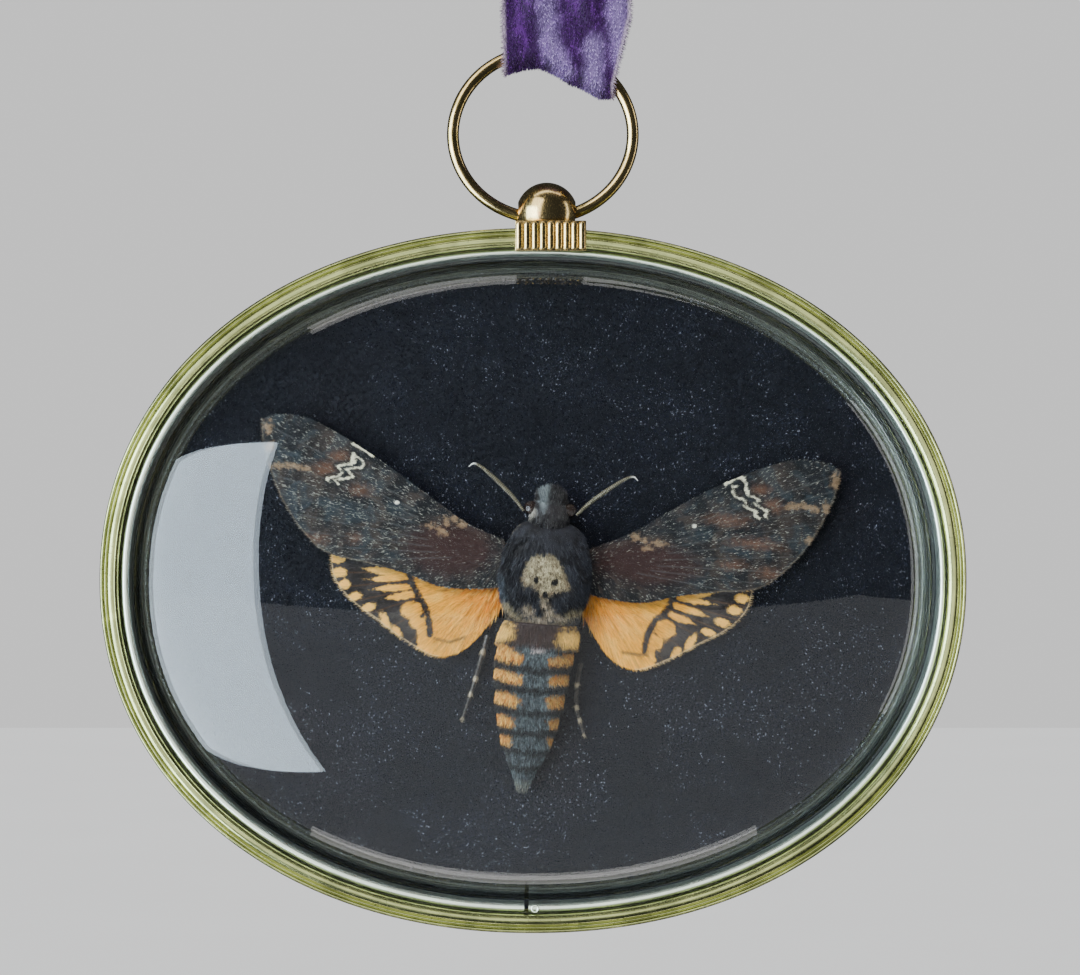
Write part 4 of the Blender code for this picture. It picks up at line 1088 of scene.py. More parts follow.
class MothSettings(bpy.types.PropertyGroup):
    """Fur and scales of the moth."""

    yellow: colour_setting("Yellow", "Yellow of the hindwings", (0.92, 0.43, 0.03))
    pale_yellow: colour_setting("Pale yellow", "Yellow of the tongues and tufts", (0.9, 0.56, 0.13))
    orange: colour_setting("Orange", "Orange at the roots of the hindwings", (0.86, 0.28, 0.015))
    skull: colour_setting("Skull mark", "Palest colour of the mark on the thorax", (0.66, 0.58, 0.36))
    wing_dark: colour_setting("Dark scales", "Darkest scales of the forewings", (0.011, 0.011, 0.013))
    wing_brown: colour_setting("Brown scales", "Brown scales of the forewings", (0.04, 0.03, 0.024))
    fur: FloatProperty(name="Fur", description="Hairs on a square millimetre", default=37.0, min=1.0)
    scales: FloatProperty(name="Scales", description="Scales on a square millimetre of wing", default=30.0, min=1.0)


class StudioSettings(bpy.types.PropertyGroup):
    """Lamps and backdrop."""

    window: FloatProperty(name="Window", description="Glow of the tall panel at the left", default=11.0, min=0.0)
    panels: FloatProperty(name="Panels", description="Glow of the narrow panels at the sides", default=3.0, min=0.0)
    front: FloatProperty(name="Front", description="Glow of the panels that the brass mirrors", default=1.8, min=0.0)
    day: FloatProperty(name="Daylight", description="Strength of the broad soft light", default=5.0, min=0.0)
    backdrop: FloatProperty(name="Backdrop", description="Brightness of the pale backdrop", default=1.05, min=0.0)
    room: FloatProperty(name="Room light", description="Soft light from all round", default=0.13, min=0.0)


GROUPS = {
    "moth_frame_brass": BrassSettings,
    "moth_frame_glass": GlassSettings,
    "moth_frame_pad": PadSettings,
    "moth_frame_ribbon": RibbonSettings,
    "moth_frame_moth": MothSettings,
    "moth_frame_studio": StudioSettings,
}


# The frame's pieces

def rim_section():
    """The rim's section: outer lip, groove, fine crest, main band, side wall and rear lip."""
    front = RIM_FRONT
    lip_front = RIM_BACK - LIP_THICKNESS
    bead_back = front + BEAD_DEPTH
    corners = (
        (0.0, RIM_BACK, 0.35),
        (0.0, front + 0.75, 0.3),
        (0.3, front + 0.32, 0.2),
        (0.62, front + 0.42, 0.12),
        (0.72, front + 0.85, 0.12),
        (0.86, front + 0.8, 0.1),
        (0.94, front + 0.34, 0.08),
        (1.14, front + 0.34, 0.08),
        (1.24, front + 0.62, 0.1),
        (1.36, front + 0.55, 0.1),
        (1.6, front + 0.14, 0.3),
        (2.3, front, 0.4),
        (2.62, front + 0.12, 0.06),
        (2.7, front + 0.02, 0.05),
        (2.8, front + 0.14, 0.06),
        (3.12, front + 0.34, 0.2),
        (BEAD_WIDTH, front + 0.8, 0.2),
        (BEAD_WIDTH, bead_back, 0.1),
        (RIM_WALL, bead_back, 0.2),
        (RIM_WALL, lip_front, 0.4),
        (REAR_LIP, lip_front, 0.2),
        (REAR_LIP, RIM_BACK, 0.2),
    )
    return rounded(corners, 4)


def slip_joint_angles():
    """Angles of the slip ring's right and left ends, going round anticlockwise."""
    ends = []
    for side in (1, -1):
        x = (SLIP_JOINT_X + side * SLIP_JOINT_GAP / 2) / HALF_WIDTH
        ends.append(-math.acos(math.copysign(abs(x) ** (OVAL_POWER / 2), x)))
    return ends[0], ends[1] + 2 * math.pi


def slip_mesh():
    """Split ring, a little wider at the lower right, with rolled ends at its joint."""
    start, end = slip_joint_angles()
    angles = np.linspace(start, end, 420)
    width = (SLIP_NARROW + SLIP_WIDE) / 2 - (SLIP_WIDE - SLIP_NARROW) / 2 * np.sin(angles + 0.6)
    front, back = SLIP_LOW[1], SLIP_HIGH[1]
    section = rounded(((0.0, back, 0.1), (0.0, front + 0.5, 0.3), (0.35, front, 0.3), (0.72, front + 0.05, 0.3),
                       (1.0, front + 0.7, 0.3), (1.0, back, 0.1)), 4)
    share, y = section.T
    x, z = oval_curve(angles[:, None], SLIP_INSET + share[None, :] * width[:, None])
    points = np.stack((x, np.broadcast_to(y, x.shape), z), axis=-1)
    if points.shape[1] % 2:
        points = points[:, 1:]
    return grid_mesh("slip", points, around=True, capped=True)


def slip_mouth():
    """Small rolled lip round the dark opening at the slip ring's right end."""
    start = slip_joint_angles()[0]
    x, z = oval_curve(start + 0.012, SLIP_INSET + 0.66)
    turn = np.linspace(0.0, 2 * math.pi, 28, endpoint=False)
    y = SLIP_LOW[1] - 0.02
    route = np.stack((x + 0.56 * np.cos(turn), np.full(28, y), z + 0.56 * np.sin(turn)), axis=1)
    middle = np.array((x, y, z))
    outward = route - middle
    outward /= np.linalg.norm(outward, axis=1, keepdims=True)
    roll = 2 * math.pi * np.arange(10) / 10
    ring = route[:, None] + 0.17 * (outward[:, None] * np.cos(roll)[:, None]
                                    + np.array((0.0, -1.0, 0.0)) * np.sin(roll)[:, None])
    return grid_mesh("mouth", ring, around=True, along=True)


def dome_height(f):
    """Share of the dome's rise at a share f of the way from its middle to its edge."""
    return np.maximum(0.0, 1.0 - f ** DOME_POWER) ** DOME_FALL


def dome_mesh():
    """Glass shell: outer dome, inner dome and flange."""
    angles = np.linspace(0.0, 2 * math.pi, 200, endpoint=False)
    turn = np.linspace(0.0, math.pi / 2, 34)
    shares = (1.0 - np.sin(turn) ** (1 / DOME_FALL)) ** (1 / DOME_POWER)
    shares[-1] = 0.0
    back, front = GLASS_HIGH[1], GLASS_HIGH[1] - GLASS_FLANGE
    rings = [(DOME_INSET, f, front - GLASS_RISE * dome_height(f)) for f in shares[::-1]]
    rings += [(SLIP_INSET + inset, 1.0, y) for inset, y in ((0.15, front), (0.0, front + 0.15), (0.0, back - 0.15),
                                                            (0.15, back))]
    inner = DOME_INSET + GLASS_WALL
    rings += [(inner - 0.15, 1.0, back), (inner, 1.0, back - 0.15)]
    rings += [(inner, f, front - (GLASS_RISE - GLASS_WALL) * dome_height(f)) for f in shares]
    rows = []
    for inset, f, y in rings:
        x, z = oval_curve(angles, inset)
        rows.append(np.stack((f * x, np.full(len(x), y), f * z), axis=1))
    return grid_mesh("dome", rows, around=True, merged=True, crease=60.0)


def oval_sheet(name, inset, front, back, rings=44, steps=300, relief=0.0, marks=()):
    """A thin oval slab with a fine mesh, and the marks that its pile is planted by."""
    angles = np.linspace(0.0, 2 * math.pi, steps, endpoint=False)
    x, z = oval_curve(angles, inset)
    rim = np.stack((x, np.zeros(steps), z), axis=1)
    shares = np.linspace(0.0, 1.0, rings)[:, None, None]
    layer = rim * shares
    face = layer + np.array((0.0, front, 0.0))
    if relief:
        face[:, :, 1] += relief * ripple(layer, 6.0) * (shares[:, :, 0] < 1)
    points = np.concatenate((face, layer[::-1] + np.array((0.0, back, 0.0))))
    values = {}
    if "fur" in marks:
        room = (1 - shares[:, :, 0]) * np.hypot(*rim[:, (0, 2)].T)[None, :]
        values["fur"] = np.concatenate((room > 2.7, np.zeros(room.shape))).ravel()
        values["fur_length"] = np.ones(values["fur"].shape)
        swirl = 2.2 * ripple(layer, 19.0) + 1.5 * ripple(layer, 5.0, 3.0) + 0.9 * ripple(layer, 2.2, 9.0)
        swirl = np.concatenate((swirl, swirl[::-1])).ravel() + math.pi / 2
        values["comb"] = np.stack((np.cos(swirl), np.zeros(len(swirl)), np.sin(swirl)), axis=1)
    return grid_mesh(name, points, around=True, merged=True, marks=values)


def ball_mesh(radius, segments, rings):
    mesh = bpy.data.meshes.new("ball")
    work = bmesh.new()
    bmesh.ops.create_uvsphere(work, u_segments=segments, v_segments=rings, radius=radius * MM)
    bmesh.ops.translate(work, verts=work.verts, vec=Vector(to_frame((BALL_X, 0.0, BALL_Z))))
    work.to_mesh(mesh)
    work.free()
    return mesh


def block_mesh(low, high, bevel=0.0):
    """A box between two corners, with rounded edges where a bevel is given."""
    mesh = bpy.data.meshes.new("block")
    work = bmesh.new()
    bmesh.ops.create_cube(work, size=1.0)
    low, high = np.array(low), np.array(high)
    bmesh.ops.scale(work, verts=work.verts, vec=Vector((high - low) * MM))
    bmesh.ops.translate(work, verts=work.verts, vec=Vector(to_frame((low + high) / 2)))
    if bevel:
        bmesh.ops.bevel(work, geom=work.edges, offset=bevel * MM, segments=3, affect="EDGES", profile=0.5)
    work.to_mesh(mesh)
    work.free()
    return mesh


def carved(mesh, cutter, operation="DIFFERENCE"):
    """A mesh with another taken out of it or added to it."""
    objects = [bpy.data.objects.new("carved", m) for m in (mesh, cutter)]
    for obj in objects:
        bpy.context.scene.collection.objects.link(obj)
    modifier = objects[0].modifiers.new("carve", "BOOLEAN")
    modifier.operation = operation
    modifier.solver = "EXACT"
    modifier.object = objects[1]
    result = bpy.data.meshes.new_from_object(objects[0].evaluated_get(bpy.context.evaluated_depsgraph_get()))
    for obj in objects:
        bpy.data.meshes.remove(obj.data)
    result.shade_smooth()
    result.set_sharp_from_angle(angle=math.radians(40))
    return result


def length_map(mesh, axis=2, across=0):
    """Gives a mesh the UV map in millimetres that the metals read, measured along one axis."""
    places = np.empty(len(mesh.vertices) * 3)
    mesh.vertices.foreach_get("co", places)
    places = places.reshape(-1, 3) / MM
    corners = np.empty(len(mesh.loops), int)
    mesh.loops.foreach_get("vertex_index", corners)
    layer = mesh.uv_layers.get("length") or mesh.uv_layers.new(name="length")
    layer.uv.foreach_set("vector", places[corners][:, (axis, across)].astype(np.float32).ravel())
    return mesh


def drilled_ball():
    """Ball with a flat foot and a countersunk hole for the ring."""
    foot = HALF_HEIGHT + GAP
    reach = 2 * BALL_RADIUS
    ball = ball_mesh(BALL_RADIUS, 112, 56)
    ball = carved(ball, block_mesh((BALL_X - reach, -reach, foot - reach), (BALL_X + reach, reach, foot)))
    stations = ((-7.0, 3.6), (-4.95, BORE_RADIUS + 0.28), (-4.7, BORE_RADIUS), (4.7, BORE_RADIUS),
                (4.95, BORE_RADIUS + 0.28), (7.0, 3.6))
    turn = np.linspace(0.0, 2 * math.pi, 48, endpoint=False)
    rows = [np.stack((np.full(48, BALL_X + x), r * np.cos(turn), BORE_Z + r * np.sin(turn)), axis=1)
            for x, r in stations]
    return length_map(carved(ball, grid_mesh("drill", rows, around=True, capped=True)))


def clip_mesh(finish):
    """Ribbed clip: nine round-ended flutes on a plate, and a strip over the rim hollowed for the ball."""
    low, high = COLLAR_LOW, COLLAR_HIGH
    plate_front = RIM_FRONT - GAP - COLLAR_PLATE
    bottom, top = low[2], high[2]
    plate = block_mesh((low[0], plate_front, bottom), (high[0], RIM_FRONT - GAP, top), 0.12)
    strip = block_mesh((low[0], plate_front + 0.2, HALF_HEIGHT + GAP), (high[0], high[1], top), 0.1)
    plate = carved(carved(plate, strip, "UNION"), ball_mesh(BALL_RADIUS + GAP, 64, 32))
    pitch = (high[0] - low[0]) / FLUTES
    depth = plate_front - low[1] + 0.12
    heights = np.linspace(-1.0, 1.0, 22)
    swell = np.clip((1 - np.abs(heights)) * (top - bottom) / pitch, 0.0, 1.0)
    swell = np.sqrt(1 - (1 - swell) ** 2)
    turn = np.linspace(0.0, 2 * math.pi, 16, endpoint=False)
    rows = []
    for height, grow in zip(heights, swell):
        rows.append(np.stack((0.47 * pitch * grow * np.cos(turn), depth * grow * np.sin(turn),
                              np.full(16, height * (top - bottom) / 2)), axis=1))
    rib = bpy.data.objects.new("rib", grid_mesh("rib", np.array(rows) - CENTRE, around=True, merged=True))
    bpy.context.scene.collection.objects.link(rib)
    start = to_frame((low[0] + pitch / 2, plate_front + 0.12, (bottom + top) / 2))
    made = applied(plate, rib_tree(), Count=FLUTES, Start=list(start), Step=[pitch * MM, 0.0, 0.0], Rib=rib,
                   Material=finish)
    bpy.data.meshes.remove(rib.data)
    made.shade_smooth()
    made.set_sharp_from_angle(angle=math.radians(40))
    return length_map(made, axis=0, across=2)


def ring_mesh():
    """Closed wire ring, a little wider than tall, whose seam lies inside the ball."""
    turn = np.linspace(0.0, 2 * math.pi, 300, endpoint=False) - math.pi / 2
    middle = np.stack((RING_X + RING_HALF_WIDTH * np.cos(turn), 0 * turn, RING_Z + RING_HALF_HEIGHT * np.sin(turn)),
                      axis=1)
    outward = np.stack((RING_HALF_HEIGHT * np.cos(turn), 0 * turn, RING_HALF_WIDTH * np.sin(turn)), axis=1)
    outward /= np.linalg.norm(outward, axis=1, keepdims=True)
    roll = np.linspace(0.0, 2 * math.pi, 24, endpoint=False)[:, None]
    spread = outward[:, None] * np.cos(roll) + np.array((0.0, 1.0, 0.0)) * np.sin(roll)
    return grid_mesh("wire", middle[:, None] + WIRE_RADIUS * spread, around=True, along=True)


# The ribbon

def ribbon_x(share, z):
    """Place across the ribbon, which is gathered in where it passes under the ring."""
    low = RING_Z + RING_HALF_HEIGHT - RIBBON_GATHER
    rise = np.clip((z - low) / (RIBBON_WIDE_Z - low), 0.0, 1.0)
    width = RIBBON_LOW_WIDTH + (RIBBON_TOP_WIDTH - RIBBON_LOW_WIDTH) * rise
    return RIBBON_LOW_X + (RIBBON_TOP_X - RIBBON_LOW_X) * rise + (share - 0.5) * width


def loop_bottom(share):
    """Height of the loop's inner side where it passes under the wire."""
    x = ribbon_x(share, 0.0)
    wire = RING_Z + RING_HALF_HEIGHT * math.sqrt(max(0.0, 1 - ((x - RING_X) / RING_HALF_WIDTH) ** 2))
    start, full, fading, end = SAG_SHARES
    rising = min(max((share - start) / (full - start), 0.0), 1.0)
    falling = min(max((end - share) / (end - fading), 0.0), 1.0)
    return wire - LOOP_SAG * min(rising, falling)


def ribbon_turn(share, thickness, count):
    """One closed turn of the ribbon in y and z, from the bottom up the back and round."""
    low_radius = WIRE_RADIUS + LOOP_SLACK
    bottom = loop_bottom(share)
    top = LOOP_TOP - LOOP_HALF_GAP
    low_turn = np.linspace(-math.pi / 2, 0.0, 14)
    high_turn = np.linspace(0.0, math.pi / 2, 14)
    rises = np.linspace(0.0, 1.0, 30)[1:-1]
    low_arc = np.stack(((low_radius + thickness) * np.cos(low_turn),
                        bottom + (low_radius + thickness) * np.sin(low_turn)), axis=1)
    side = np.stack((low_radius + (LOOP_HALF_GAP - low_radius) * rises + thickness, bottom + (top - bottom) * rises),
                    axis=1)
    high_arc = np.stack(((LOOP_HALF_GAP + thickness) * np.cos(high_turn),
                         top + (LOOP_HALF_GAP + thickness) * np.sin(high_turn)), axis=1)
    half = np.vstack((low_arc, side, high_arc))
    whole = np.vstack((half, (half * (-1, 1))[::-1][1:]))
    lengths = np.concatenate(([0.0], np.cumsum(np.hypot(*np.diff(whole, axis=0).T))))
    wanted = np.linspace(0.0, lengths[-1], count, endpoint=False)
    return np.stack([np.interp(wanted, lengths, whole[:, k]) for k in (0, 1)], axis=1)


def ribbon_fold(share, z):
    """How far the soft upright folds move both layers back, fading out below and above."""
    fold = FOLD_DEPTH * math.sin(2 * math.pi * FOLD_COUNT * share + FOLD_START)
    return fold * np.clip((z - FOLD_LOW_Z) / FOLD_FADE, 0, 1) * np.clip((FOLD_HIGH_Z - z) / FOLD_FADE, 0, 1)


def ribbon_mesh():
    """The ribbon's closed band, with its folds, a slightly waving edge and fine creases."""
    across, count = 64, 230
    shares = np.linspace(0.0, 1.0, across)
    layers = []
    for thickness, order in ((RIBBON_THICKNESS, shares), (0.0, shares[::-1])):
        for share in order:
            y, z = ribbon_turn(share, thickness, count).T
            layers.append(np.stack((ribbon_x(share, z), y + ribbon_fold(share, z), z), axis=1))
    points = np.stack(layers, axis=1)
    creases = 0.22 * ripple(points * (1.0, 0.25, 0.35), 2.6) * np.clip((points[:, :, 2] - 84.0) / 8.0, 0.35, 1.0)
    side = np.sign(points[:, :, 1:2])
    points = points + creases[:, :, None] * np.concatenate((0 * side, side, 0 * side), axis=2)
    edge = np.minimum(shares, 1 - shares) * RIBBON_TOP_WIDTH
    edge = np.broadcast_to(np.concatenate((edge, edge[::-1])), (count, 2 * across))
    outside = np.broadcast_to(np.arange(2 * across) < across, (count, 2 * across))
    outward = np.sign(points[:, :, 0:1] - RIBBON_TOP_X) * np.clip(1.2 - edge / 0.6, 0.0, 1.0)[:, :, None]
    sway = ripple(points, 5.0, 4.0)[:, :, None]
    comb = np.concatenate((1.4 * outward + 0.5 * sway, 0.15 * sway, -0.8 + 0 * sway), axis=2)
    comb /= np.linalg.norm(comb, axis=2, keepdims=True)
    upright = points[:, :, (0, 2)].reshape(-1, 2)
    # Distance to the painted highlights along the folds, which the velvet finish reads
    painted_highlight = nearest(*[stroke_distance(upright, path, 1.0) for path in PAINTED_HIGHLIGHT_PATHS])
    marks = {"fur": outside.ravel(), "fur_length": 1 + 0.4 * (edge.ravel() < 0.5), "selvedge": edge.ravel(),
             "comb": comb.reshape(-1, 3), "painted_highlight": painted_highlight}
    return grid_mesh("band", points, around=True, along=True, crease=80.0, marks=marks)


# The moth

FOREWING_ROOT = (6.0, 2.0)
FOREWING_VEINS = ((51.0, 21.5), (50.8, 18.6), (49.8, 15.8), (48.6, 12.6), (47.0, 9.4), (45.0, 6.2), (42.5, 3.2),
                  (39.5, 0.8), (33.0, -1.0))
HINDWING_ROOT = (7.0, -0.5)
HINDWING_VEINS = ((37.2, -0.9), (36.4, -3.6), (35.0, -6.0), (32.6, -8.2), (29.8, -10.1), (26.3, -12.3), (22.6, -14.6),
                  (18.4, -16.2), (13.8, -15.2))


def wing_mesh(side, sign, leading, trailing, bow, height_at, root, veins, rows, columns):
    """A thin closed wing with low ridges along its veins, and its places on the moth.

    Gives the mesh, the place of each vertex outward from the body and along it, and which are on top.
    """
    scale = WING_SCALE[side]
    front_edge = smooth_curve(leading, rows)
    back_edge = smooth_curve(trailing, rows)
    share = np.linspace(0.0, 1.0, rows)
    front_edge[:, 1] += bow * np.sin(math.pi * share)
    front_edge[-1] += 0.1 * (front_edge[-2] - front_edge[-1])
    back_edge[-1] += 0.1 * (back_edge[-2] - back_edge[-1])
    across = np.linspace(0.0, 1.0, columns)
    flat = front_edge[:, None] * (1 - across[:, None]) + back_edge[:, None] * across[:, None]
    flat = (WING_ROOT, 0.0) + scale * (flat - (WING_ROOT, 0.0))
    places = flat.reshape(-1, 2)
    vein = nearest(*[stroke_distance(places, (np.array(root) * 0.62 + np.array(tip) * 0.38 * scale, np.array(tip)
                                              * scale)) for tip in veins])
    ridge = 0.07 * np.exp(-(vein / 0.32) ** 2).reshape(flat.shape[:2])
    height = height_at(share[:, None], across[None, :]) + ridge
    height = height + 0.1 * ripple(np.dstack((flat, height)), 7.0, 2.0)
    layers = []
    for rise, order in ((WING_THICKNESS / 2, slice(None)), (-WING_THICKNESS / 2, slice(None, None, -1))):
        layers.append(on_moth(sign * flat[:, :, 0], flat[:, :, 1], height + rise)[:, order])
    places = np.concatenate((flat, flat[:, ::-1]), axis=1).reshape(-1, 2)
    on_top = np.broadcast_to(np.arange(2 * columns) < columns, (rows, 2 * columns)).ravel()
    away = places - root
    angle = np.arctan2(away[:, 1], away[:, 0])
    comb = moth_direction(sign * np.cos(angle), np.sin(angle), 0.0)
    vein = np.concatenate((vein.reshape(rows, columns), vein.reshape(rows, columns)[:, ::-1]), axis=1).ravel()
    margin = (WING_ROOT, 0.0) + scale * (smooth_curve(trailing, 80)[28:] - (WING_ROOT, 0.0))
    marks = {"reach": np.hypot(*away.T), "ray": 26.0 * angle, "vein": vein, "fur": on_top,
             "fur_length": np.ones(len(places)), "comb": comb, "edge": stroke_distance(places, margin),
             "tint": 0.5 * np.ones(len(places))}
    mesh = grid_mesh("wing", np.concatenate(layers, axis=1), around=True, capped=True, crease=50.0, marks=marks)
    return mesh, places, on_top


def forewing_height(along, across):
    return FOREWING_HEIGHT + 0.5 * np.sin(math.pi * across) * (1 - 0.5 * along) - 0.5 * along ** 2


def hindwing_height(along, across):
    return HINDWING_HEIGHT + 0.25 * np.sin(math.pi * across) * (1 - 0.5 * along)


def mark_forewing(mesh, places, marks):
    """Stores how far each vertex is from each of a forewing's markings."""
    spots = nearest(*[spot_distance(places, *spot) for spot in marks["base"]])
    zigzags = nearest(*[stroke_distance(places, path) for path in marks["zigzags"]])
    mark(mesh, "cream", nearest(zigzags - 0.13, *[stroke_distance(places, path, 0.26) for path in marks["blotch"]]))
    mark(mesh, "tan", nearest(spots, stroke_distance(places, marks["streak"], 0.4),
                              *[spot_distance(places, *spot) for spot in marks["tips"]]))
    mark(mesh, "rust", nearest(*[spot_distance(places, *spot) for spot in marks["rust"]]))
    mark(mesh, "maroon", spot_distance(places, *marks["maroon"]))
    mark(mesh, "dot", spot_distance(places, marks["dot"], (0.42, 0.36)))
    mark(mesh, "dark", np.abs(zigzags - 0.5) - 0.22)


def mark_hindwing(mesh, places, marks):
    """Stores how far each vertex is from a hindwing's dark markings and its thin line."""
    spared = [finger_distance(places, *tongue) for tongue in marks["tongues"]]
    spared += [spot_distance(places, *blob) for blob in marks["blobs"]]
    for centre, length, width in marks["spots"]:
        turn = math.atan2(centre[1] - HINDWING_ROOT[1], centre[0] - HINDWING_ROOT[0])
        spared.append(spot_distance(places, centre, (length, width), turn))
    dark = np.maximum(patch_distance(places, marks["zone"]), -nearest(*spared))
    mark(mesh, "band", nearest(stroke_distance(places, marks["inner"], 0.58), dark))
    mark(mesh, "thin", stroke_distance(places, marks["thin"], 0.12))


def body_mesh(along, middle, half_width, top, sides, groove=None):
    """A furry body part from oval sections, with the places of its vertices on the moth."""
    turn = 2 * math.pi * np.arange(sides) / sides
    half_height = (top - BODY_FOOT) / 2
    across = middle[:, None] + half_width[:, None] * np.cos(turn)
    height = BODY_FOOT + half_height[:, None] * (1 + np.sin(turn))
    along = np.broadcast_to(along[:, None], across.shape)
    places = np.stack((across, along), axis=-1).reshape(-1, 2)
    upward = np.broadcast_to(np.sin(turn), across.shape).ravel()
    if groove is not None:
        height = height - (0.45 * np.exp(-(groove(places) / 0.5) ** 2) * (upward > 0)).reshape(height.shape)
    points = on_moth(across, along, height)
    points = points + 0.1 * ripple(points, 1.8)[:, :, None] * (0.0, -1.0, 0.0)
    mesh = grid_mesh("body", points, around=True, capped=True, crease=80.0)
    mark(mesh, "across", places[:, 0])
    mark(mesh, "along", places[:, 1])
    mark(mesh, "tint", 0.3 * np.ones(len(places)))
    mark(mesh, "tip", 0.35 * np.ones(len(places)))
    mark(mesh, "fur", upward > -0.75)
    return mesh, places


def set_fur(mesh, places, length, across=0.0, along=-1.0, curl=0.3):
    """Stores the length and the way of the fur, which swirls a little."""
    flat = np.column_stack((places, np.zeros(len(places))))
    sway = curl * ripple(flat, 2.4, 5.0) + across
    mark(mesh, "comb", moth_direction(sway, np.broadcast_to(along, sway.shape), 0.0))
    mark(mesh, "fur_length", np.broadcast_to(length, len(places)))


def thorax_mesh():
    along = np.linspace(THORAX_BACK - 0.2, THORAX_FRONT + 0.5, 90)
    swell = np.sqrt(np.maximum(0.0, 1 - ((along + 0.6) / THORAX_LENGTH) ** 2)) ** 0.8
    ends = np.minimum((along - along[0]) / 1.6, (along[-1] - along) / 1.6)
    swell *= np.sqrt(1 - np.clip(1 - ends, 0.0, 0.96) ** 2) ** 0.7
    half_width = (THORAX_HALF_WIDTH - 0.4) * swell
    top = BODY_FOOT + (THORAX_TOP - 0.4 - BODY_FOOT) * swell
    mesh, places = body_mesh(along, 0 * along, half_width, top, 120, lambda p: stroke_distance(p, GROOVE))
    skull = patch_distance(places, SKULL)
    mark(mesh, "skull", skull)
    mark(mesh, "cheek", np.abs(skull + 0.2) + 0.35 * np.maximum(0.0, places[:, 1] + 1.0))
    eyes = [spot_distance(places, *eye) for eye in (*SKULL_EYES, SKULL_NOSE)]
    mark(mesh, "eyes", nearest(*eyes))
    mark(mesh, "chin", nearest(*[spot_distance(places, *spot) for spot in CHIN]))
    mark(mesh, "crescent", stroke_distance(places, CRESCENT, 0.45))
    mark(mesh, "groove", stroke_distance(places, GROOVE, 0.25))
    mark(mesh, "rim", stroke_distance(places, PALE_EDGE, 0.3))
    mark(mesh, "blue", stroke_distance(places, BLUE_EDGE, 0.4))
    mark(mesh, "tuft", nearest(*[spot_distance(places, *tuft) for tuft in TUFTS]))
    shorter = np.where(skull < 0.3, 0.42, np.where(stroke_distance(places, CRESCENT) < 0.8, 0.8, 1.0))
    set_fur(mesh, places, shorter, 0.06 * places[:, 0] + 0.1)
    return mesh


def head_mesh():
    along = np.linspace(THORAX_FRONT - 0.6, HEAD_FRONT, 50)
    share = np.clip((along - THORAX_FRONT) / (HEAD_FRONT - THORAX_FRONT), 0.0, 1.0)
    swell = np.sqrt(np.maximum(0.02, 1 - (0.985 * share) ** 2.2))
    half_width = (HEAD_HALF_WIDTH - 0.7) * swell
    top = BODY_FOOT + (HEAD_TOP - 0.3 - BODY_FOOT) * swell
    mesh, places = body_mesh(along, 0 * along, half_width, top, 80)
    mark(mesh, "crest", spot_distance(places, (-1.2, 12.6), (0.7, 1.9)))
    mark(mesh, "collar", spot_distance(places, (-3.6, 9.9), (1.1, 0.8)))
    set_fur(mesh, places, 0.7 + 0.4 * (places[:, 1] > 12.0),
            along=np.where(places[:, 1] > 11.4, 0.9, -0.8), curl=0.6)
    return mesh


def abdomen_mesh():
    front = THORAX_BACK + 0.4
    along = np.linspace(front, TAIL + 0.3, 170)
    share = 0.965 * (along - front) / (TAIL - front)
    half_width = np.maximum(ABDOMEN_HALF_WIDTH * (1 - share ** 2.3) ** 0.78 - 0.45, 0.45)
    edges = np.array((front, *SEGMENT_EDGES, TAIL))
    step = np.interp(-along, -edges, np.arange(len(edges))) % 1.0
    half_width = half_width * (0.945 + 0.07 * step ** 0.7)
    top = BODY_FOOT + (ABDOMEN_TOP - BODY_FOOT - 0.3) * half_width / ABDOMEN_HALF_WIDTH
    middle = ABDOMEN_SIDE_SHIFT * np.minimum(1.0, 4 * share)
    mesh, places = body_mesh(along, middle, half_width, top, 110)
    mark(mesh, "yellow", nearest(*[patch_distance(places, spot) for spot in YELLOW_SPOTS]))
    bend = places[:, 1] - 0.018 * (places[:, 0] + 0.8) ** 2 + 0.25
    mark(mesh, "black", nearest(*[np.abs(bend - band) - 0.62 for band in BLACK_BANDS]))
    mark(mesh, "white", spot_distance(places, *WHITE_TUFT))
    mark(mesh, "tuft", nearest(*[spot_distance(places, *tuft) for tuft in TUFTS]))
    narrowing = 0.3 * np.clip((-30.0 - places[:, 1]) / 6.0, 0.0, 1.0)
    set_fur(mesh, places, 0.75 + 0.5 * (places[:, 1] < -36.0) + 0.5 * (places[:, 1] > -12.5),
            (0.03 - narrowing) * (places[:, 0] + 0.8), curl=0.2)
    return mesh


def eye_mesh(sign):
    mesh = bpy.data.meshes.new("eye")
    work = bmesh.new()
    bmesh.ops.create_uvsphere(work, u_segments=40, v_segments=20, radius=1.25 * MM)
    place = to_frame(on_moth(sign * (HEAD_HALF_WIDTH - 0.75), 10.6, 3.4))
    bmesh.ops.translate(work, verts=work.verts, vec=Vector(place))
    work.to_mesh(mesh)
    work.free()
    mesh.shade_smooth()
    return mesh


def antenna_mesh(sign):
    """Ringed antenna that swells a little along its length and ends in a fine hook."""
    count = 220
    route = smooth_curve([on_moth(sign * across, along, height) for across, along, height in ANTENNA], count)
    share = np.linspace(0.0, 1.0, count)
    length = share * np.linalg.norm(np.diff(route, axis=0), axis=1).sum()
    radii = ANTENNA_RADIUS * (0.62 + 0.38 * np.sin(math.pi * np.minimum(1.0, share * 1.15)))
    radii *= np.where(share > 0.86, 1 - 0.75 * np.clip((share - 0.86) / 0.14, 0, 1), 1.0)
    radii *= 1 + 0.1 * np.sin(2 * math.pi * length / 0.34)
    points = tube_points(route, radii, 16)
    marks = {"run": np.repeat(length, 16), "tip": np.repeat(share, 16)}
    return grid_mesh("antenna", points, around=True, capped=True, crease=80.0, marks=marks)


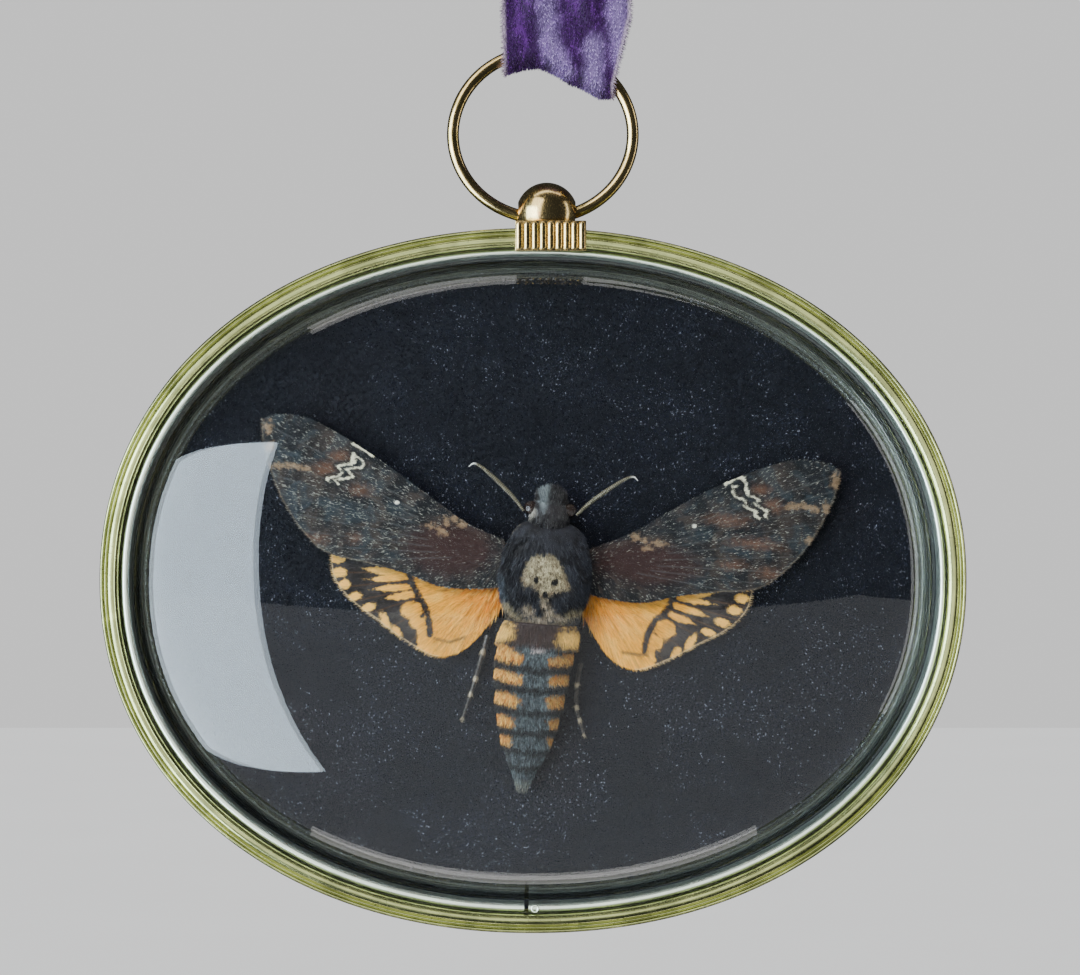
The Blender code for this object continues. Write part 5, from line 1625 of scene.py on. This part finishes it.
def leg_mesh(side):
    """Leg with swollen joints, thinning to its claw."""
    count = 150
    stops = [on_moth(*point) for point in LEGS[side]]
    route = smooth_curve(stops, count)
    share = np.linspace(0.0, 1.0, count)
    joint = np.min([np.linalg.norm(route - stop, axis=1) for stop in stops[1:]], axis=0)
    radii = LEG_RADIUS * (1 - 0.5 * share) * (0.78 + 0.2 * np.exp(-(joint / 0.6) ** 2))
    points = tube_points(route, radii, 14)
    ahead = np.gradient(route, axis=0)
    ahead /= np.linalg.norm(ahead, axis=1, keepdims=True)
    marks = {"joint": np.repeat(joint, 14) - 0.35, "fur": np.ones(14 * count), "fur_length": np.ones(14 * count),
             "comb": np.repeat(ahead, 14, axis=0)}
    return grid_mesh("leg", points, around=True, capped=True, crease=80.0, marks=marks)


# Operators

class MOTHFRAME_OT_rim(bpy.types.Operator):
    """Makes the brass rim."""

    bl_idname = "moth_frame.rim"
    bl_label = "Rim"

    def execute(self, context):
        brass = context.scene.moth_frame_brass
        finish = metal("rim_brass", brass.rim_tint_and_reflection, shade(brass.rim_tint_and_reflection, 0.45), brass.roughness, speckle=0.5,
                       tarnish=(0.34, 0.36, 0.16))
        piece("rim_bezel", swept_oval("rim", rim_section(), 420), finish, "frame", "brass", "rim")
        return {"FINISHED"}


class MOTHFRAME_OT_slip_ring(bpy.types.Operator):
    """Makes the bright split ring in front of the glass's edge."""

    bl_idname = "moth_frame.slip_ring"
    bl_label = "Slip ring"

    def execute(self, context):
        brass = context.scene.moth_frame_brass
        finish = metal("slip_brass", brass.slip_tint_and_reflection, shade(brass.slip_tint_and_reflection, 0.8), 0.3)
        piece("slip_band", joined(slip_mesh(), slip_mouth()), finish, "frame", "bright_brass", "slip_ring")
        return {"FINISHED"}


class MOTHFRAME_OT_glass(bpy.types.Operator):
    """Makes the domed glass."""

    bl_idname = "moth_frame.glass"
    bl_label = "Domed glass"

    def execute(self, context):
        finish = glass_finish(context.scene.moth_frame_glass)
        piece("domed_glass", dome_mesh(), finish, "frame", "glass", "glass_dome")
        return {"FINISHED"}


class MOTHFRAME_OT_velvet(bpy.types.Operator):
    """Makes the card, its velvet and the velvet's pile."""

    bl_idname = "moth_frame.velvet"
    bl_label = "Velvet pad"

    def execute(self, context):
        pad = context.scene.moth_frame_pad
        finish = pad_velvet_finish(pad.colour, pad.painted_glint)
        front = PAD_LOW[1] + 0.1
        card = oval_sheet("card", SLIP_INSET + 0.05, front + 0.45, PAD_HIGH[1], 6, 200)
        piece("velvet_card", card, card_finish(), "frame", "dark_velvet", "velvet_pad")
        cloth = oval_sheet("cloth", SLIP_INSET, front, front + 0.4, relief=0.05, marks=("fur",))
        pile = planted(cloth, finish, pad.density, pad.pile, 0.3, 0.6, 0.6, 4, knees=0)
        cloth = piece("velvet_cloth", cloth, finish, "frame", "dark_velvet", "velvet_pad")
        pile = piece("velvet_pile", pile, finish, "frame", "dark_velvet", "velvet_pad")
        return {"FINISHED"}


class MOTHFRAME_OT_board(bpy.types.Operator):
    """Gives the backing board its finish."""

    bl_idname = "moth_frame.board"
    bl_label = "Backing board"

    def execute(self, context):
        slots = frame["nodes"]["back_board"].material_slots
        for slot in slots:
            slot.material = board_finish(slot_colour("board"))
        return {"FINISHED"}


class MOTHFRAME_OT_hanger(bpy.types.Operator):
    """Makes the ball, the ribbed clip and the wire ring."""

    bl_idname = "moth_frame.hanger"
    bl_label = "Ball, clip and ring"

    def execute(self, context):
        brass = context.scene.moth_frame_brass
        gold = brass.ball_colour
        ball = metal("ball_brass", gold, shade(gold, 0.6), 0.2, 0.3, 0.12, (0.5, 0.22, 0.11), 0.06)
        clip = metal("clip_brass", gold, shade(gold, 0.6), brass.roughness, 0.3, 0.3, (0.5, 0.4, 0.15), 0.12)
        wire = metal("wire_brass", gold, shade(gold, 0.5), 0.2, 0.04, 0.3, (0.42, 0.34, 0.12), 0.12)
        piece("drilled_ball", drilled_ball(), ball, "frame", "brass", "hanger_ball")
        piece("ribbed_clip", clip_mesh(clip), clip, "frame", "brass", "hanger_collar")
        piece("wire_ring", ring_mesh(), wire, "hanger", "brass", "ring")
        return {"FINISHED"}


class MOTHFRAME_OT_ribbon(bpy.types.Operator):
    """Makes the velvet ribbon and its pile."""

    bl_idname = "moth_frame.ribbon"
    bl_label = "Ribbon"

    def execute(self, context):
        ribbon = context.scene.moth_frame_ribbon
        finish = ribbon_velvet_finish(ribbon)
        band = ribbon_mesh()
        pile = planted(band, finish, ribbon.density, ribbon.pile, 0.2, 0.6, 0.35, 8, knees=0)
        band = piece("velvet_ribbon", band, finish, "hanger", "purple_velvet", "ribbon")
        pile = piece("ribbon_pile", pile, finish, "hanger", "purple_velvet", "ribbon")
        return {"FINISHED"}


class MOTHFRAME_OT_wings(bpy.types.Operator):
    """Makes the four wings with their scales, and the hair at the hindwings' roots."""

    bl_idname = "moth_frame.wings"
    bl_label = "Wings"

    def execute(self, context):
        moth = context.scene.moth_frame_moth
        yellow = hindwing_finish(moth)
        hair = hair_finish(moth)
        for seed, (side, sign) in enumerate(SIDES):
            # The left forewing gets more pale scales, a painted reflection that makes it lighter than the right
            brown = forewing_finish(moth, 0.8 if sign < 0 else 0.6)
            brown.name = "forewing_scales_" + side
            mesh, places, on_top = wing_mesh(side, sign, FOREWING_LEADING, FOREWING_TRAILING, WING_BOW[side],
                                             forewing_height, FOREWING_ROOT, FOREWING_VEINS, 170, 64)
            mark_forewing(mesh, places, FOREWING_MARKS[side])
            scales = planted(mesh, brown, moth.scales, 0.5, 0.15, 0.9, 0.22, 20 + seed, knees=0, bend=0.1)
            node = "forewing_" + side
            piece(node + "_wing", mesh, brown, "frame", "brown_scales", node)
            piece(node + "_scales", scales, brown, "frame", "brown_scales", node)
            mesh, places, on_top = wing_mesh(side, sign, HINDWING_LEADING, HINDWING_TRAILING, 0.0, hindwing_height,
                                             HINDWING_ROOT, HINDWING_VEINS, 130, 64)
            mark_hindwing(mesh, places, HINDWING_MARKS[side])
            scales = planted(mesh, yellow, moth.scales, 0.62, 0.13, 0.9, 0.16, 30 + seed, knees=0, bend=0.1)
            reach = np.hypot(*(places - HINDWING_ROOT).T)
            mark(mesh, "fur", on_top * np.clip(1.3 - reach / 9.0, 0.0, 1.0))
            mark(mesh, "fur_length", np.clip(1.3 - reach / 11.0, 0.4, 1.0))
            root = planted(mesh, hair, 11.0, 3.6, 0.11, 0.9, 0.16, 40 + seed, knees=3, bend=0.3)
            node = "hindwing_" + side
            piece(node + "_wing", mesh, yellow, "frame", "yellow_scales", node)
            piece(node + "_scales", scales, yellow, "frame", "yellow_scales", node)
            piece(node + "_hair", root, hair, "frame", "yellow_scales", node)
        return {"FINISHED"}


class MOTHFRAME_OT_body(bpy.types.Operator):
    """Makes the thorax, the head with its eyes and the abdomen, each with its fur."""

    bl_idname = "moth_frame.body"
    bl_label = "Body"

    def execute(self, context):
        moth = context.scene.moth_frame_moth
        parts = (("thorax", thorax_mesh, thorax_finish(moth), "dark_fur", 1.25, 0.12),
                 ("head", head_mesh, head_finish(), "dark_fur", 1.2, 0.12),
                 ("abdomen", abdomen_mesh, abdomen_finish(moth), "banded_fur", 1.15, 0.13))
        for seed, (node, shape, finish, slot, length, width) in enumerate(parts):
            mesh = shape()
            fur = planted(mesh, finish, moth.fur, length, width, 0.82, 0.16, 50 + seed)
            piece("moth_" + node, mesh, finish, "frame", slot, node)
            piece(node + "_fur", fur, finish, "frame", slot, node)
        eyes = eye_finish()
        for side, sign in SIDES:
            piece("eye_" + side, eye_mesh(sign), eyes, "frame", "dark_fur", "head")
        return {"FINISHED"}


class MOTHFRAME_OT_limbs(bpy.types.Operator):
    """Makes the antennae and the hind legs."""

    bl_idname = "moth_frame.limbs"
    bl_label = "Antennae and legs"

    def execute(self, context):
        horn = horn_finish()
        scales = leg_finish()
        for seed, (side, sign) in enumerate(SIDES):
            node = "antenna_" + side
            piece(node + "_shaft", antenna_mesh(sign), horn, "frame", "horn", node)
            leg = leg_mesh(side)
            hairs = planted(leg, scales, 14.0, 0.7, 0.07, 0.75, 0.4, 60 + seed, knees=1)
            node = "hind_leg_" + side
            piece(node + "_shaft", leg, scales, "frame", "dark_fur", node)
            piece(node + "_hairs", hairs, scales, "frame", "dark_fur", node)
        return {"FINISHED"}


def soft_panel(name, azimuth, elevation, distance, width, height, radiance, colour, only=()):
    """A glowing panel facing the frame, seen in glass and brass alone, at these angles off the view's axis.

    It shines on every piece, or only on the pieces named.
    """
    turn, rise = math.radians(azimuth), math.radians(elevation)
    way = Vector((math.sin(turn) * math.cos(rise), -math.cos(turn) * math.cos(rise), math.sin(rise)))
    data = bpy.data.lights.new(name, "AREA")
    data.shape = "RECTANGLE"
    data.size = width
    data.size_y = height
    data.energy = math.pi * radiance * width * height
    data.color = colour
    obj = bpy.data.objects.new(name, data)
    bpy.context.scene.collection.objects.link(obj)
    obj.location = Vector(CENTRE * MM) + way * distance
    obj.rotation_euler = (-way).to_track_quat("-Z", "Y").to_euler()
    obj.visible_diffuse = False
    if only:
        lit = bpy.data.collections.new(name + "_lit")
        for part in only:
            lit.objects.link(bpy.data.objects[part])
        obj.light_linking.receiver_collection = lit


def daylight(name, aim, strength, spread):
    """Broad soft light from one side, which throws no shape into the glass."""
    data = bpy.data.lights.new(name, "SUN")
    data.energy = strength
    data.angle = math.radians(spread)
    obj = bpy.data.objects.new(name, data)
    bpy.context.scene.collection.objects.link(obj)
    obj.rotation_euler = Vector(aim).to_track_quat("-Z", "Y").to_euler()
    obj.visible_glossy = False
    obj.visible_transmission = False


class MOTHFRAME_OT_studio(bpy.types.Operator):
    """Makes the floor, the lamps, the backdrop's light and the camera."""

    bl_idname = "moth_frame.studio"
    bl_label = "Studio"

    def execute(self, context):
        studio = context.scene.moth_frame_studio
        mesh = bpy.data.meshes.new("floor")
        work = bmesh.new()
        bmesh.ops.create_grid(work, x_segments=1, y_segments=1, size=8.0)
        bmesh.ops.translate(work, verts=work.verts, vec=(0.0, 0.0, to_frame((0.0, 0.0, FLOOR_Z))[2]))
        work.to_mesh(mesh)
        work.free()
        paper = Finish("pale_paper", 0.9)
        clouds = paper.noise(0.4, detail=2.0)
        mesh.materials.append(paper.coloured(paper.mix(clouds, (0.86, 0.86, 0.85), (0.9, 0.9, 0.89))))
        floor = bpy.data.objects.new("floor", mesh)
        context.scene.collection.objects.link(floor)

        floor.visible_glossy = False
        cool, warm = (0.72, 0.87, 1.0), (1.0, 0.98, 0.94)
        soft_panel("window", -59.0, -8.0, 0.8, 0.7, 1.0, studio.window, cool)
        soft_panel("right_panel", 84.0, 4.0, 0.7, 0.1, 0.9, studio.panels, warm)
        soft_panel("top_panel", 8.0, 86.0, 0.7, 0.9, 0.1, studio.panels, warm)
        soft_panel("low_panel", 0.0, -84.0, 0.6, 0.7, 0.1, studio.panels, warm)
        soft_panel("rim_panel", -5.0, 15.0, 1.0, 1.5, 1.3, 0.8 * studio.front, (0.95, 1.0, 0.93), ["rim_bezel"])
        soft_panel("slip_panel", 0.0, 0.0, 1.0, 2.2, 2.2, studio.front, (0.95, 1.0, 0.96), ["slip_band"])
        soft_panel("hanger_panel", -42.0, 22.0, 1.0, 0.7, 1.3, 2.0 * studio.front, (1.0, 0.98, 0.92),
                   ["drilled_ball", "ribbed_clip", "wire_ring"])
        daylight("day", (0.35, 0.72, -0.75), studio.day, 28.0)

        world = bpy.data.worlds.new("studio")
        world.use_nodes = True
        nodes = world.node_tree.nodes
        links = world.node_tree.links
        room = nodes["Background"]
        room.inputs["Color"].default_value = (0.78, 0.86, 1.0, 1.0)
        room.inputs["Strength"].default_value = studio.room
        dim = nodes.new("ShaderNodeBackground")
        dim.inputs["Color"].default_value = (0.78, 0.86, 1.0, 1.0)
        dim.inputs["Strength"].default_value = 0.35 * studio.room
        backdrop = nodes.new("ShaderNodeBackground")
        backdrop.inputs["Strength"].default_value = studio.backdrop
        ray = nodes.new("ShaderNodeLightPath").outputs
        bounces = nodes.new("ShaderNodeMath")
        links.new(ray["Diffuse Depth"], bounces.inputs[0])
        links.new(ray["Glossy Depth"], bounces.inputs[1])
        direct = nodes.new("ShaderNodeMath")
        direct.operation = "LESS_THAN"
        links.new(bounces.outputs[0], direct.inputs[0])
        direct.inputs[1].default_value = 0.5
        through = nodes.new("ShaderNodeMath")
        through.operation = "MULTIPLY"
        links.new(ray["Is Transmission Ray"], through.inputs[0])
        links.new(direct.outputs[0], through.inputs[1])
        seen = nodes.new("ShaderNodeMath")
        seen.operation = "MAXIMUM"
        links.new(ray["Is Camera Ray"], seen.inputs[0])
        links.new(through.outputs[0], seen.inputs[1])
        around = nodes.new("ShaderNodeMixShader")
        links.new(ray["Glossy Depth"], around.inputs[0])
        links.new(room.outputs[0], around.inputs[1])
        links.new(dim.outputs[0], around.inputs[2])
        both = nodes.new("ShaderNodeMixShader")
        links.new(seen.outputs[0], both.inputs[0])
        links.new(around.outputs[0], both.inputs[1])
        links.new(backdrop.outputs[0], both.inputs[2])
        links.new(both.outputs[0], nodes["World Output"].inputs["Surface"])
        context.scene.world = world

        data = bpy.data.cameras.new("camera")
        data.lens = LENS
        data.sensor_width = SENSOR
        camera = bpy.data.objects.new("camera", data)
        context.scene.collection.objects.link(camera)
        away = PHOTO_WIDTH_MM * LENS / SENSOR
        camera.location = to_frame((PHOTO_MIDDLE[0], RIM_FRONT / 2 - away, PHOTO_MIDDLE[1]))
        camera.rotation_euler = (math.pi / 2, 0.0, 0.0)
        context.scene.camera = camera
        return {"FINISHED"}


OPERATORS = (MOTHFRAME_OT_rim, MOTHFRAME_OT_slip_ring, MOTHFRAME_OT_glass, MOTHFRAME_OT_velvet, MOTHFRAME_OT_board,
             MOTHFRAME_OT_hanger, MOTHFRAME_OT_ribbon, MOTHFRAME_OT_wings, MOTHFRAME_OT_body, MOTHFRAME_OT_limbs,
             MOTHFRAME_OT_studio)


class MOTHFRAME_PT_panel(bpy.types.Panel):
    """Lists the steps and their settings."""

    bl_idname = "MOTHFRAME_PT_panel"
    bl_label = "Framed hawk moth"
    bl_space_type = "VIEW_3D"
    bl_region_type = "UI"
    bl_category = "Moth frame"

    def draw(self, context):
        column = self.layout.column()
        for operator in OPERATORS:
            column.operator(operator.bl_idname)
        for name, group in GROUPS.items():
            box = self.layout.box()
            box.label(text=group.__doc__)
            for setting in group.__annotations__:
                box.prop(getattr(context.scene, name), setting)


def register():
    for name, group in GROUPS.items():
        bpy.utils.register_class(group)
        setattr(bpy.types.Scene, name, PointerProperty(type=group))
    for shown in (*OPERATORS, MOTHFRAME_PT_panel):
        bpy.utils.register_class(shown)


def unregister():
    for shown in reversed((*OPERATORS, MOTHFRAME_PT_panel)):
        bpy.utils.unregister_class(shown)
    for name, group in GROUPS.items():
        delattr(bpy.types.Scene, name)
        bpy.utils.unregister_class(group)


def main():
    register()
    for operator in OPERATORS:
        group, name = operator.bl_idname.split(".")
        getattr(getattr(bpy.ops, group), name)()


if __name__ == "__main__":
    main()
